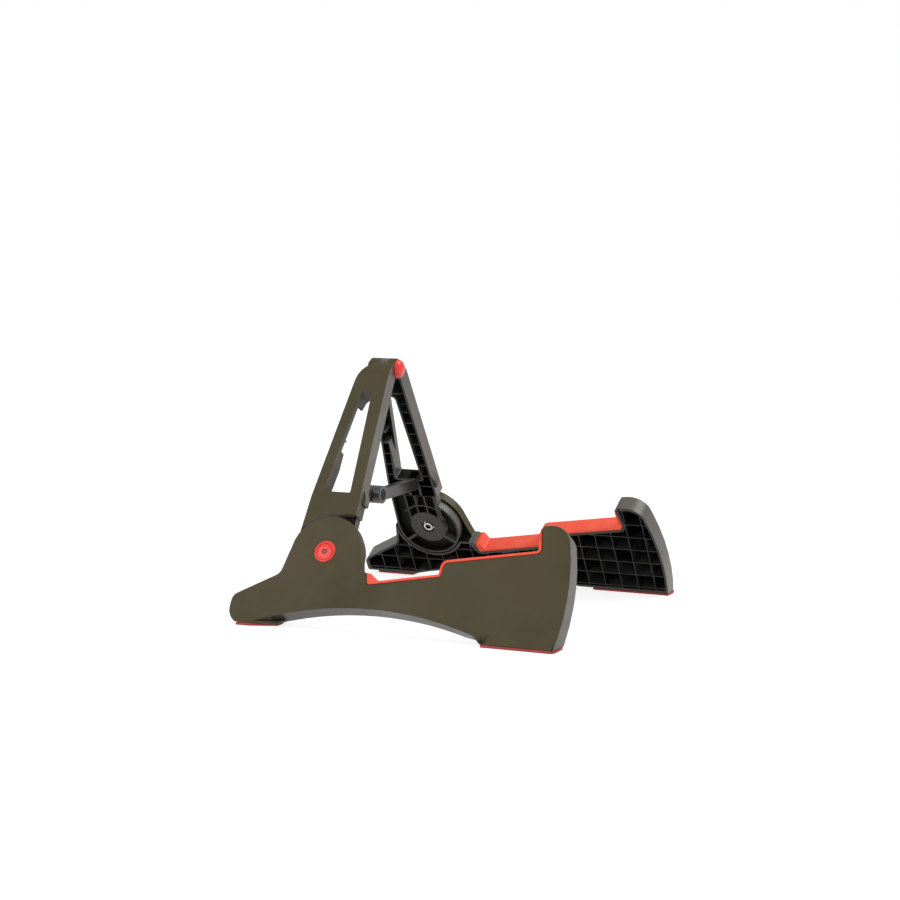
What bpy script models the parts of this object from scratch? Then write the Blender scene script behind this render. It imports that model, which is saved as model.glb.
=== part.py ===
"""A folding A-frame guitar stand, as an assembly of moulded halves.

Two mirror-image halves lean on each other at a hinge along the top. Each half is an upright with a
window, and a foot panel that turns on a bolt through the upright's lower disc. Rubber pads line the
cradles, rubber strips lie under the feet, and a two-link brace holds the halves apart.

Metres, +Z up, +X towards the lips, +Y towards the left half. The origin is on the floor under the
middle of the stand. Sizes below are in millimetres.

Every moulding is drawn flat: u runs forwards, v up along the moulding, and w inwards from its outer
face. A side of +1 is the left half and -1 is the right half.
"""

import math
from collections import namedtuple

import bmesh
import bpy
from mathutils import Matrix

MM = 0.001
SIDES = {"left": 1, "right": -1}

# Whole stand
TILT = math.radians(31.5)  # of each half from upright, when open
DEPTH = 16.0  # of every moulding, outer face to inner face
FOLD_GAP = 0.3  # from an inner face to the plane where the folded halves meet
FIT = 0.3  # clearance between pieces that touch
CIRCLE_STEPS = 24
SMALL_STEPS = 20

# Mouldings
FACE_WALL = 2.2
EDGE_WALL = 2.0
RIB = 1.2
SOFT_EDGE = 0.8  # rounding round the outer face

# Foot pivot, and the round ends that turn on each other
PIVOT_U = 71.6
PIVOT_V = 67.9
HUB_RADIUS = 31.0
DISC_RADIUS = 29.0
HUB_DEPTH = 8.0  # of the panel where the disc lies over it
FOLD_SWING = math.radians(80.0)  # of a foot, to the stop in the plate's lower edge

# Foot panel
TOE_U = -0.8
TOE_RADIUS = 14.0
TOE_NOSE_V = 25.2
TOE_NOSE_RADIUS = 8.0
ARCH_TOP = (123.0, 23.0)
ARCH_RADII = (280.0, 300.0)  # behind its top, and in front
ARCH_FEET_U = (14.0, 214.0)
ARCH_FRONT_CORNER = (222.5, 1.0)  # a short steep end to the arch, down to the front sole
SOLE_V = -0.5  # the outline's lowest point, under the floor that trims it
FRONT_U = 284.2
FRONT_RADIUS = 198.0
FRONT_V = 37.0  # height of the foremost point
HUB_REAR_CORNER = (36.5, 47.0)
HUB_REAR_FILLET = 8.0
HUB_REAR_ANGLE = math.radians(163.0)
HUB_FRONT_ANGLE = math.radians(15.3)
LEDGE_U = 107.3
LEDGE_V = 53.4
LEDGE_LENGTH = 4.9
CRADLE_REAR = (114.7, 42.8)
STEP_LOW = (175.9, 54.5)
STEP_HIGH = (176.6, 66.2)
LIP_ROOT = (255.3, 80.3)
LIP_TOP_REAR = (252.9, 104.4)
LIP_TOP_FRONT = (276.2, 96.9)
# Each sole's lower edge in u and v, outwards of the arch: level, then rising inwards
TOE_SOLE = ((7.0, -0.5), (18.0, -0.5), (46.0, 5.5))
FRONT_SOLE = ((222.0, -0.5), (281.0, -0.5), (282.6, 10.0))
SOLE_PLATE = 1.8
CELL_U = 15.0
CELL_V = 13.8
CELL_ORIGIN = (3.0, 4.0)
CELL_COUNT = (19, 8)

# Rubber
PAD_THICKNESS = 2.2
STRIP_THICKNESS = 2.0

# Pivot hardware
BOLT_RADIUS = 4.0
BOLT_HEAD_RADIUS = 6.6
BOLT_HEAD_THICKNESS = 2.8
BOLT_END_RADIUS = 3.0
BOLT_END_W = 15.8
SOCKET_RADIUS = 2.9
CAP_RADIUS = 8.3
CAP_RECESS = 1.0
CAP_PROUD = 1.1
NUT_RADIUS = 5.2
NUT_W = (12.4, 15.2)
WASHER_RADIUS = 9.6
WASHER_THICKNESS = 0.7
BOSS_RADIUS = 16.5
BOSS_DROP = 0.5
PANEL_BOSS_RADIUS = 12.5

# Upright
PLATE_W = 3.0  # its outer face lies this far inside the panel's
TONGUE_FRONT_U = 87.4
PLATE_CORNER = (88.9, 102.7)
FRONT_TOP_U = 86.0
CROWN_CENTRE = (87.4, 215.5)
CROWN_RADIUS = 31.0
SHOULDER_V = 226.0  # where the outer face starts to curve in to the hinge
SHOULDER_RADIUS = 26.0
REAR_BEND = (45.0, 116.3)
PLATE_GAP = 1.0  # between the panel's hub and the upright's plate
LUG_V = (113.5, 119.0)
LUG_REACH = 2.5
WINDOW_CORNERS = ((54.4, 121.3, 1.2), (78.7, 121.3, 1.2), (75.4, 213.8, 5.0), (66.0, 215.8, 4.6))
ROW_PITCH = 11.4
ROW_COUNT = 12
ROW_START_V = 103.2
RAIL_WALL = 1.8
DISC_FLOOR_W = 10.3

# Apex hinge
HINGE_V = 239.7
BARREL_RADIUS = 8.6
BARREL_CLEARANCE = 0.4
PIN_RADIUS = 2.5
KNUCKLES = {"right": ((63.5, 72.3), (80.4, 83.0)), "left": ((72.6, 80.1),)}
PIN_OVERHANG = 1.2
HINGE_CAP_RADIUS = 6.8
HINGE_CAP_THICKNESS = 2.5

# Brace
LINK_V = 112.0
LINK_W = 10.5
LINK_HEIGHT = 10.0
KNUCKLE_RADIUS = 7.5
LINK_U = {"left": (65.3, 72.5), "right": (57.6, 65.0)}
EAR = 2.3
LINK_PIN_RADIUS = 2.0
LINK_PIN_OVERHANG = 0.9
RIVET_RADIUS = 3.0
RIVET_HEAD_RADIUS = 4.4
RIVET_HEAD_THICKNESS = 0.7
STOW_V = 143.0  # the rear rail is cut back above this height, for the folded brace
STOW_TOP_V = 200.0
STOW_W = 7.9

# Worked out from the sizes above
HINGE_W = DEPTH + FOLD_GAP
SPREAD = HINGE_V * math.sin(TILT) + HINGE_W * math.cos(TILT)
HINGE_Z = HINGE_V * math.cos(TILT) - HINGE_W * math.sin(TILT)
MIDDLE_U = (TOE_U + FRONT_U) / 2
LINK_LENGTH = SPREAD - LINK_V * math.sin(TILT) - LINK_W * math.cos(TILT)
SOLE_Z = STRIP_THICKNESS + FIT
BARREL_U = (KNUCKLES["right"][0][0], KNUCKLES["right"][-1][1])

COLOURS = {
    "outer_plastic": ((0.105, 0.088, 0.056), 0.45, 0.0),
    "red_rubber": ((0.80, 0.075, 0.035), 0.55, 0.0),
    "red_plastic": ((0.72, 0.04, 0.03), 0.35, 0.0),
    "dark_plastic": ((0.055, 0.05, 0.045), 0.4, 0.0),
    "steel": ((0.62, 0.62, 0.63), 0.28, 1.0),
}

# side is +1 or -1, empty carries the piece, and origin is the empty's place in u, v and w
Frame = namedtuple("Frame", "side empty origin")


def clear_scene():
    for obj in list(bpy.data.objects):
        bpy.data.objects.remove(obj, do_unlink=True)


def new_collection(name):
    collection = bpy.data.collections.new(name)
    bpy.context.scene.collection.children.link(collection)
    return collection


def make_materials():
    made = {}
    for name, (colour, roughness, metallic) in COLOURS.items():
        material = bpy.data.materials.new(name)
        material.use_nodes = True
        shader = material.node_tree.nodes["Principled BSDF"]
        shader.inputs["Base Color"].default_value = (*colour, 1.0)
        shader.inputs["Roughness"].default_value = roughness
        shader.inputs["Metallic"].default_value = metallic
        made[name] = material
    return made


# Outlines


def arc(centre, radius, start, end, steps):
    """Points along a circle from angle start to angle end, in radians."""
    angles = (start + (end - start) * i / steps for i in range(steps + 1))
    return [(centre[0] + radius * math.cos(a), centre[1] + radius * math.sin(a)) for a in angles]


def circle(centre, radius, steps=CIRCLE_STEPS):
    return arc(centre, radius, 0.0, 2 * math.pi, steps)[:-1]


def rectangle(low, high):
    return [low, (high[0], low[1]), high, (low[0], high[1])]


def towards(a, b):
    length = math.dist(a[:2], b[:2])
    return (b[0] - a[0]) / length, (b[1] - a[1]) / length


def rounded(corners, closed=True):
    """An outline through corners. A corner with a third value is rounded to that radius."""
    outline = []
    for i, corner in enumerate(corners):
        end = not closed and i in (0, len(corners) - 1)
        if len(corner) == 2 or end:
            outline.append(tuple(corner[:2]))
            continue
        u, v, radius = corner
        back = towards(corner, corners[i - 1])
        ahead = towards(corner, corners[(i + 1) % len(corners)])
        half = math.acos(max(-1.0, min(1.0, back[0] * ahead[0] + back[1] * ahead[1]))) / 2
        middle = towards((0, 0), (back[0] + ahead[0], back[1] + ahead[1]))
        reach = radius / math.sin(half)
        centre = (u + middle[0] * reach, v + middle[1] * reach)
        length = radius / math.tan(half)
        first = (u + back[0] * length - centre[0], v + back[1] * length - centre[1])
        turn = math.pi - 2 * half
        if back[0] * ahead[1] - back[1] * ahead[0] > 0:
            turn = -turn
        start = math.atan2(first[1], first[0])
        steps = max(2, round(abs(turn) * 4))
        outline += arc(centre, radius, start, start + turn, steps)
    return outline


def offset(points, distance, closed=True):
    """The outline moved to its left by distance, without the loops that tight corners make."""
    count = len(points)
    moved = []
    for i, here in enumerate(points):
        before = points[i - 1] if closed or i > 0 else None
        after = points[(i + 1) % count] if closed or i < count - 1 else None
        a = towards(before, here) if before else towards(here, after)
        b = towards(here, after) if after else a
        scale = distance / (1 + a[0] * b[0] + a[1] * b[1])
        moved.append((here[0] - (a[1] + b[1]) * scale, here[1] + (a[0] + b[0]) * scale))
    edges = [(points[i], points[(i + 1) % count]) for i in range(count if closed else count - 1)]
    reach = abs(distance) * 0.97
    return [p for p in moved if min(edge_distance(p, a, b) for a, b in edges) >= reach]


def edge_distance(p, a, b):
    along_u, along_v = b[0] - a[0], b[1] - a[1]
    share = ((p[0] - a[0]) * along_u + (p[1] - a[1]) * along_v) / (along_u**2 + along_v**2)
    share = max(0.0, min(1.0, share))
    return math.dist(p, (a[0] + along_u * share, a[1] + along_v * share))


def about_pivot(radius, angle):
    return PIVOT_U + radius * math.cos(angle), PIVOT_V + radius * math.sin(angle)


def cradle_path():
    """The panel's edge under the pad, from the lip's top back to the ledge behind the cradle."""
    return [
        (*LIP_TOP_REAR, 2.0),
        (*LIP_ROOT, 4.5),
        (*STEP_HIGH, 4.0),
        (*STEP_LOW, 2.8),
        (*CRADLE_REAR, 2.8),
        (LEDGE_U + LEDGE_LENGTH, LEDGE_V, 0.8),
    ]


def arch_path():
    """The arch under the panel: two arcs that meet level at its top."""
    level = math.pi / 2
    path = []
    for foot_u, radius, steps in zip(ARCH_FEET_U, ARCH_RADII, (9, 8)):
        angle = level - math.asin((foot_u - ARCH_TOP[0]) / radius)
        centre = (ARCH_TOP[0], ARCH_TOP[1] - radius)
        half = arc(centre, radius, angle, level, steps)
        path += half if not path else half[-2::-1]
    return path


def panel_outline():
    arch = arch_path()
    slope = (arch[1][1] - arch[0][1]) / (arch[1][0] - arch[0][0])
    toe_v = arch[0][1] - slope * (arch[0][0] - TOE_U)
    front_centre = (FRONT_U - FRONT_RADIUS, FRONT_V)
    front_start = math.asin((SOLE_V - FRONT_V) / FRONT_RADIUS)
    front_end = math.asin((LIP_TOP_FRONT[1] - 8.0 - FRONT_V) / FRONT_RADIUS)
    corners = [(TOE_U, toe_v, TOE_RADIUS)]
    corners += arch
    corners += [ARCH_FRONT_CORNER]
    corners += arc(front_centre, FRONT_RADIUS, front_start, front_end, 6)
    corners += [(*LIP_TOP_FRONT, 6.0)]
    corners += cradle_path()
    corners += [(LEDGE_U, LEDGE_V, 1.0)]
    corners += arc((PIVOT_U, PIVOT_V), HUB_RADIUS, HUB_FRONT_ANGLE, HUB_REAR_ANGLE, 16)
    corners += [(*HUB_REAR_CORNER, HUB_REAR_FILLET), (TOE_U, TOE_NOSE_V, TOE_NOSE_RADIUS)]
    return rounded(corners)


def upright_outline():
    reach = TONGUE_FRONT_U - PIVOT_U
    disc_end = 2 * math.pi + math.acos(reach / DISC_RADIUS)
    crown_start = math.acos((FRONT_TOP_U - CROWN_CENTRE[0]) / CROWN_RADIUS)
    crown_end = math.radians(173.0)
    corners = arc((PIVOT_U, PIVOT_V), DISC_RADIUS, math.pi, disc_end, 20)
    corners += [(TONGUE_FRONT_U, PLATE_CORNER[1] - 0.4), PLATE_CORNER]
    corners += arc(CROWN_CENTRE, CROWN_RADIUS, crown_start, crown_end, 10)
    corners += [REAR_BEND]
    return rounded(corners)


def plate_cut_outline():
    """What the upright's plate leaves free for the hub: a circle round it, and a wedge in front.

    The wedge is the panel's front shoulder, turned by the fold swing.
    """
    radius = HUB_RADIUS + PLATE_GAP
    wedge_start = HUB_FRONT_ANGLE + FOLD_SWING
    rear = arc((PIVOT_U, PIVOT_V), radius, wedge_start, math.radians(150.0), 9)
    far_u = PLATE_CORNER[0] + 30.0
    start = rear[0]
    slope = (PLATE_CORNER[1] - start[1]) / (PLATE_CORNER[0] - start[0])
    far_v = start[1] + slope * (far_u - start[0])
    return [(0.0, 0.0), (far_u, 0.0), (far_u, far_v)] + rear + [(0.0, rear[-1][1])]


def sweep_outline(margin):
    """Where the upright's tongue passes over the panel, grown by margin."""
    low_front = LEDGE_V + 0.4 - margin
    low_rear = PIVOT_V - margin
    top = PIVOT_V + HUB_RADIUS + 20.0
    rear_u = PIVOT_U - HUB_RADIUS - 20.0
    front_u = LEDGE_U + LEDGE_LENGTH + 20.0
    middle_u = PIVOT_U
    return [
        (rear_u, low_rear),
        (middle_u, low_rear),
        (middle_u, low_front),
        (front_u, low_front),
        (front_u, top),
        (rear_u, top),
    ]


# Solids


def place(obj, frame, collection, material):
    obj.parent = frame.empty
    u, v, w = frame.origin
    obj.location = (-u * MM, -v * MM, -frame.side * w * MM)
    finish(obj, collection, material)
    return obj


def finish(obj, collection, material):
    """Links a piece under its material, or a cutter as a wire that no render shows."""
    collection.objects.link(obj)
    if material is None:
        obj.hide_render = True
        obj.display_type = "WIRE"
    else:
        obj.data.materials.append(material)


def extruded_mesh(name, outline, thickness):
    """A flat curve with filled caps, made a mesh and welded."""
    curve = bpy.data.curves.new(name, "CURVE")
    curve.dimensions = "2D"
    curve.fill_mode = "BOTH"
    curve.extrude = thickness * MM / 2
    spline = curve.splines.new("POLY")
    spline.points.add(len(outline) - 1)
    for point, (u, v) in zip(spline.points, outline):
        point.co = (u * MM, v * MM, 0.0, 1.0)
    spline.use_cyclic_u = True
    holder = bpy.data.objects.new(name, curve)
    bpy.context.scene.collection.objects.link(holder)
    graph = bpy.context.evaluated_depsgraph_get()
    mesh = bpy.data.meshes.new_from_object(holder.evaluated_get(graph))
    bpy.data.objects.remove(holder, do_unlink=True)
    bpy.data.curves.remove(curve)
    bm = bmesh.new()
    bm.from_mesh(mesh)
    bmesh.ops.remove_doubles(bm, verts=bm.verts, dist=1e-7)
    bmesh.ops.dissolve_limit(bm, angle_limit=math.radians(0.1), verts=bm.verts, edges=bm.edges)
    bmesh.ops.recalc_face_normals(bm, faces=bm.faces)
    bm.to_mesh(mesh)
    bm.free()
    mesh.name = name
    mesh.materials.clear()
    return mesh


def prism(name, frame, outline, low, high, collection, material=None, soft=0.0):
    """An outline extruded from depth low to depth high. soft rounds the rim of the outer face."""
    mesh = extruded_mesh(name, outline, high - low)
    mesh.transform(Matrix.Translation((0, 0, frame.side * (low + high) / 2 * MM)))
    obj = bpy.data.objects.new(name, mesh)
    place(obj, frame, collection, material)
    if soft:
        weights = mesh.attributes.new("bevel_weight_edge", "FLOAT", "EDGE")
        for edge, weight in zip(mesh.edges, weights.data):
            heights = [abs(mesh.vertices[i].co.z) for i in edge.vertices]
            weight.value = 1.0 if max(heights) < 0.5 * MM else 0.0
        bevel = obj.modifiers.new("soft_edge", "BEVEL")
        bevel.limit_method = "WEIGHT"
        bevel.width = soft * MM
        bevel.segments = 2
    return obj


def turned(name, frame, profile, at, collection, material=None, along="w", steps=CIRCLE_STEPS):
    """A profile of (radius, height) turned about an axis at a place in u, v and w.

    Heights run along w, or along u for a piece that lies across the mouldings.
    """
    mesh = bpy.data.meshes.new(name)
    points = [(radius * MM, 0.0, height * MM) for radius, height in profile]
    mesh.from_pydata(points, [(i, i + 1) for i in range(len(points) - 1)], [])
    obj = bpy.data.objects.new(name, mesh)
    obj.parent = frame.empty
    obj.location = [
        (at[0] - frame.origin[0]) * MM,
        (at[1] - frame.origin[1]) * MM,
        frame.side * (at[2] - frame.origin[2]) * MM,
    ]
    if along == "u":
        obj.rotation_euler = (0.0, math.pi / 2, 0.0)
    elif frame.side < 0:
        obj.rotation_euler = (math.pi, 0.0, 0.0)
    finish(obj, collection, material)
    screw = obj.modifiers.new("turn", "SCREW")
    screw.steps = steps
    screw.render_steps = steps
    screw.use_merge_vertices = True
    screw.merge_threshold = 1e-5
    screw.use_smooth_shade = False
    return obj


def rod_profile(radius, low, high):
    return [(0.0, high), (radius, high), (radius, low), (0.0, low)]


def rod(name, frame, radius, low, high, at, collection, material=None, along="w", steps=CIRCLE_STEPS):
    profile = rod_profile(radius, low, high)
    return turned(name, frame, profile, at, collection, material, along, steps)


def combine(obj, other, operation="DIFFERENCE", solver="EXACT"):
    modifier = obj.modifiers.new(f"{operation.lower()}_{other.name}", "BOOLEAN")
    modifier.operation = operation
    modifier.solver = solver
    modifier.object = other
    return obj


def carve(moulding, cutter):
    """A cut in a whole moulding. The exact solver fails on its many faces that share planes."""
    return combine(moulding, cutter, solver="MANIFOLD")


def cell_grid(name, frame, corner, size, pitch, counts, low, high, cutters):
    """A cell repeated along u and v, with a rib's width left between neighbours."""
    far = (corner[0] + size[0], corner[1] + size[1])
    obj = prism(name, frame, rectangle(corner, far), low, high, cutters)
    for axis in range(2):
        if counts[axis] > 1:
            array = obj.modifiers.new("uv"[axis], "ARRAY")
            array.count = counts[axis]
            array.use_relative_offset = False
            array.use_constant_offset = True
            step = [0.0, 0.0, 0.0]
            step[axis] = pitch[axis] * MM
            array.constant_offset_displace = step
    return obj


def box_cutter(name, low, high, cutters):
    """A box between two corners, in the open stand's own axes."""
    mesh = bpy.data.meshes.new(name)
    bm = bmesh.new()
    bmesh.ops.create_cube(bm, size=1.0)
    bmesh.ops.scale(bm, vec=[(b - a) * MM for a, b in zip(low, high)], verts=bm.verts)
    bmesh.ops.translate(bm, vec=[(a + b) / 2 * MM for a, b in zip(low, high)], verts=bm.verts)
    bm.to_mesh(mesh)
    bm.free()
    obj = bpy.data.objects.new(name, mesh)
    finish(obj, cutters, None)
    return obj


def floor_cutter(name, height, cutters):
    """Everything below a level height above the floor."""
    reach = 2 * SPREAD
    return box_cutter(name, (-reach, -reach, -reach), (reach, reach, height), cutters)


# Foot panel and what rides on it


def make_foot_panel(side, frame, parts, cutters, materials):
    outline = panel_outline()
    name = f"{side}_foot_panel"
    panel = prism(name, frame, outline, 0.0, DEPTH, parts, materials["outer_plastic"], SOFT_EDGE)
    beyond = DEPTH + 1.0
    pivot = (PIVOT_U, PIVOT_V, 0.0)

    def tool(kind, *args):
        return prism(f"{name}_{kind}", frame, *args, cutters)

    seat_radius = DISC_RADIUS + 4 * FIT
    disc_seat = tool("disc_seat", circle(pivot, seat_radius), HUB_DEPTH, beyond)
    sweep = tool("sweep", sweep_outline(0.0), HUB_DEPTH, beyond)

    cells = tool("cells", offset(outline, EDGE_WALL), FACE_WALL, beyond)
    size = (CELL_U - RIB, CELL_V - RIB)
    grid_name = f"{name}_grid"
    pitch = (CELL_U, CELL_V)
    grid = cell_grid(
        grid_name, frame, CELL_ORIGIN, size, pitch, CELL_COUNT, FACE_WALL - 1.0, beyond + 1.0, cutters
    )
    combine(cells, grid, "INTERSECT")
    seat_wall = tool("seat_wall", circle(pivot, seat_radius + EDGE_WALL), 0.0, beyond + 2.0)
    combine(cells, seat_wall)
    combine(cells, tool("sweep_wall", sweep_outline(EDGE_WALL), 0.0, beyond + 2.0))
    combine(cells, floor_cutter(f"{name}_sole_wall", SOLE_Z + EDGE_WALL, cutters))

    hollow = tool("hub_hollow", offset(outline, EDGE_WALL), FACE_WALL, HUB_DEPTH + 0.5)
    field = tool("hub_field", circle(pivot, DISC_RADIUS - 1.0), FACE_WALL - 1.0, HUB_DEPTH + 1.0)
    upper = tool("hub_upper", sweep_outline(-EDGE_WALL), FACE_WALL - 0.5, HUB_DEPTH + 1.5)
    combine(field, upper, "UNION")
    combine(hollow, field, "INTERSECT")
    combine(hollow, tool("hub_boss", circle(pivot, PANEL_BOSS_RADIUS), 0.0, HUB_DEPTH + 2.0))
    for i in range(3):
        combine(hollow, spoke(f"{name}_hub_rib_{i}", frame, math.pi * (i / 3 + 1 / 6), cutters))

    carve(panel, floor_cutter(f"{name}_floor", SOLE_Z, cutters))
    plate = sole_slab(f"{name}_toe_plate", frame, TOE_SOLE, SOLE_Z, SOLE_Z + SOLE_PLATE, cutters, cutters)
    combine(panel, plate, "UNION", "MANIFOLD")
    for cutter in (disc_seat, sweep, cells, hollow):
        carve(panel, cutter)
    bore = [
        (0.0, HUB_DEPTH + 1.0),
        (BOLT_RADIUS + 0.1, HUB_DEPTH + 1.0),
        (BOLT_RADIUS + 0.1, CAP_RECESS + BOLT_HEAD_THICKNESS + 2 * FIT),
        (BOLT_HEAD_RADIUS + FIT, CAP_RECESS + BOLT_HEAD_THICKNESS + 2 * FIT),
        (BOLT_HEAD_RADIUS + FIT, CAP_RECESS),
        (CAP_RADIUS + FIT, CAP_RECESS),
        (CAP_RADIUS + FIT, -1.0),
        (0.0, -1.0),
    ]
    carve(panel, turned(f"{name}_bore", frame, bore, pivot, cutters))
    return panel


def spoke(name, frame, angle, cutters):
    """A rib through the pivot's axis, lying at an angle in the moulding's plane."""
    reach = 2 * DISC_RADIUS
    along = (math.cos(angle), math.sin(angle))
    across = (-along[1], along[0])
    corners = []
    for far, near in ((-1, -1), (1, -1), (1, 1), (-1, 1)):
        u = PIVOT_U + along[0] * far * reach + across[0] * near * RIB / 2
        v = PIVOT_V + along[1] * far * reach + across[1] * near * RIB / 2
        corners.append((u, v))
    return prism(name, frame, corners, -1.0, HUB_DEPTH + 3.0, cutters)


def make_cradle_pad(side, frame, parts, materials):
    """A strip of rubber along the cradle, turned up the lip and up behind the cradle."""
    path = rounded(cradle_path(), closed=False)
    under = offset(path, -FIT, closed=False)
    over = offset(path, -FIT - PAD_THICKNESS, closed=False)
    outline = under + over[::-1]
    name = f"{side}_cradle_pad"
    return prism(name, frame, outline[::-1], 0.0, DEPTH, parts, materials["red_rubber"])


def sole_slab(name, frame, lower_edge, low, high, collection, cutters, material=None):
    """A level slab under a foot, between two heights above the floor, over the moulding's full depth."""
    above = [(lower_edge[-1][0], 2 * DEPTH), (lower_edge[0][0], 2 * DEPTH)]
    slab = prism(name, frame, [*lower_edge, *above], 0.0, DEPTH, collection, material)
    reach = 2 * SPREAD
    layer = box_cutter(f"{name}_layer", (-reach, -reach, low), (reach, reach, high), cutters)
    return combine(slab, layer, "INTERSECT")


def make_pivot(side, frame, parts, cutters, materials):
    pivot = (PIVOT_U, PIVOT_V, 0.0)
    head_low = CAP_RECESS + FIT
    head_high = head_low + BOLT_HEAD_THICKNESS
    neck_w = HUB_DEPTH + FIT + (DEPTH - HUB_DEPTH) / 2
    bolt_profile = [
        (0.0, BOLT_END_W),
        (BOLT_END_RADIUS - 0.5, BOLT_END_W),
        (BOLT_END_RADIUS, BOLT_END_W - 0.5),
        (BOLT_END_RADIUS, neck_w - 0.6),
        (BOLT_RADIUS, neck_w - 0.6),
        (BOLT_RADIUS, head_high),
        (BOLT_HEAD_RADIUS, head_high),
        (BOLT_HEAD_RADIUS, head_low),
        (0.0, head_low),
    ]
    steel = materials["steel"]
    bolt = turned(f"{side}_pivot_bolt", frame, bolt_profile, pivot, parts, steel, steps=SMALL_STEPS)
    hexagon = circle(pivot, SOCKET_RADIUS, 6)
    socket = prism(f"{side}_socket", frame, hexagon, head_low - 1.0, head_high - 0.8, cutters)
    combine(bolt, socket)
    end_hole = rod(
        f"{side}_bolt_end_hole", frame, 1.4, BOLT_END_W - 2.0, BOLT_END_W + 1.0, pivot, cutters,
        steps=SMALL_STEPS,
    )
    combine(bolt, end_hole)

    cap_hole = SOCKET_RADIUS + 0.2
    cap_profile = [
        (cap_hole, CAP_RECESS - FIT),
        (CAP_RADIUS, CAP_RECESS - FIT),
        (CAP_RADIUS, -CAP_PROUD + 0.7),
        (CAP_RADIUS - 0.3, -CAP_PROUD + 0.25),
        (CAP_RADIUS - 1.0, -CAP_PROUD),
        (cap_hole, -CAP_PROUD),
        (cap_hole, CAP_RECESS - FIT),
    ]
    turned(f"{side}_pivot_cap", frame, cap_profile, pivot, parts, materials["red_plastic"])

    washer_low = HUB_DEPTH + FIT
    washer_hole = BOLT_RADIUS + 0.3
    washer_high = washer_low + WASHER_THICKNESS
    washer_profile = ring_profile(washer_hole, WASHER_RADIUS, washer_low, washer_high)
    turned(f"{side}_pivot_washer", frame, washer_profile, pivot, parts, steel, steps=SMALL_STEPS)
    nut_profile = ring_profile(BOLT_END_RADIUS + 0.1, NUT_RADIUS, *NUT_W)
    turned(f"{side}_pivot_nut", frame, nut_profile, pivot, parts, steel, steps=SMALL_STEPS)


def ring_profile(inner, outer, low, high):
    return [(inner, high), (outer, high), (outer, low), (inner, low), (inner, high)]


# Upright


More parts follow.
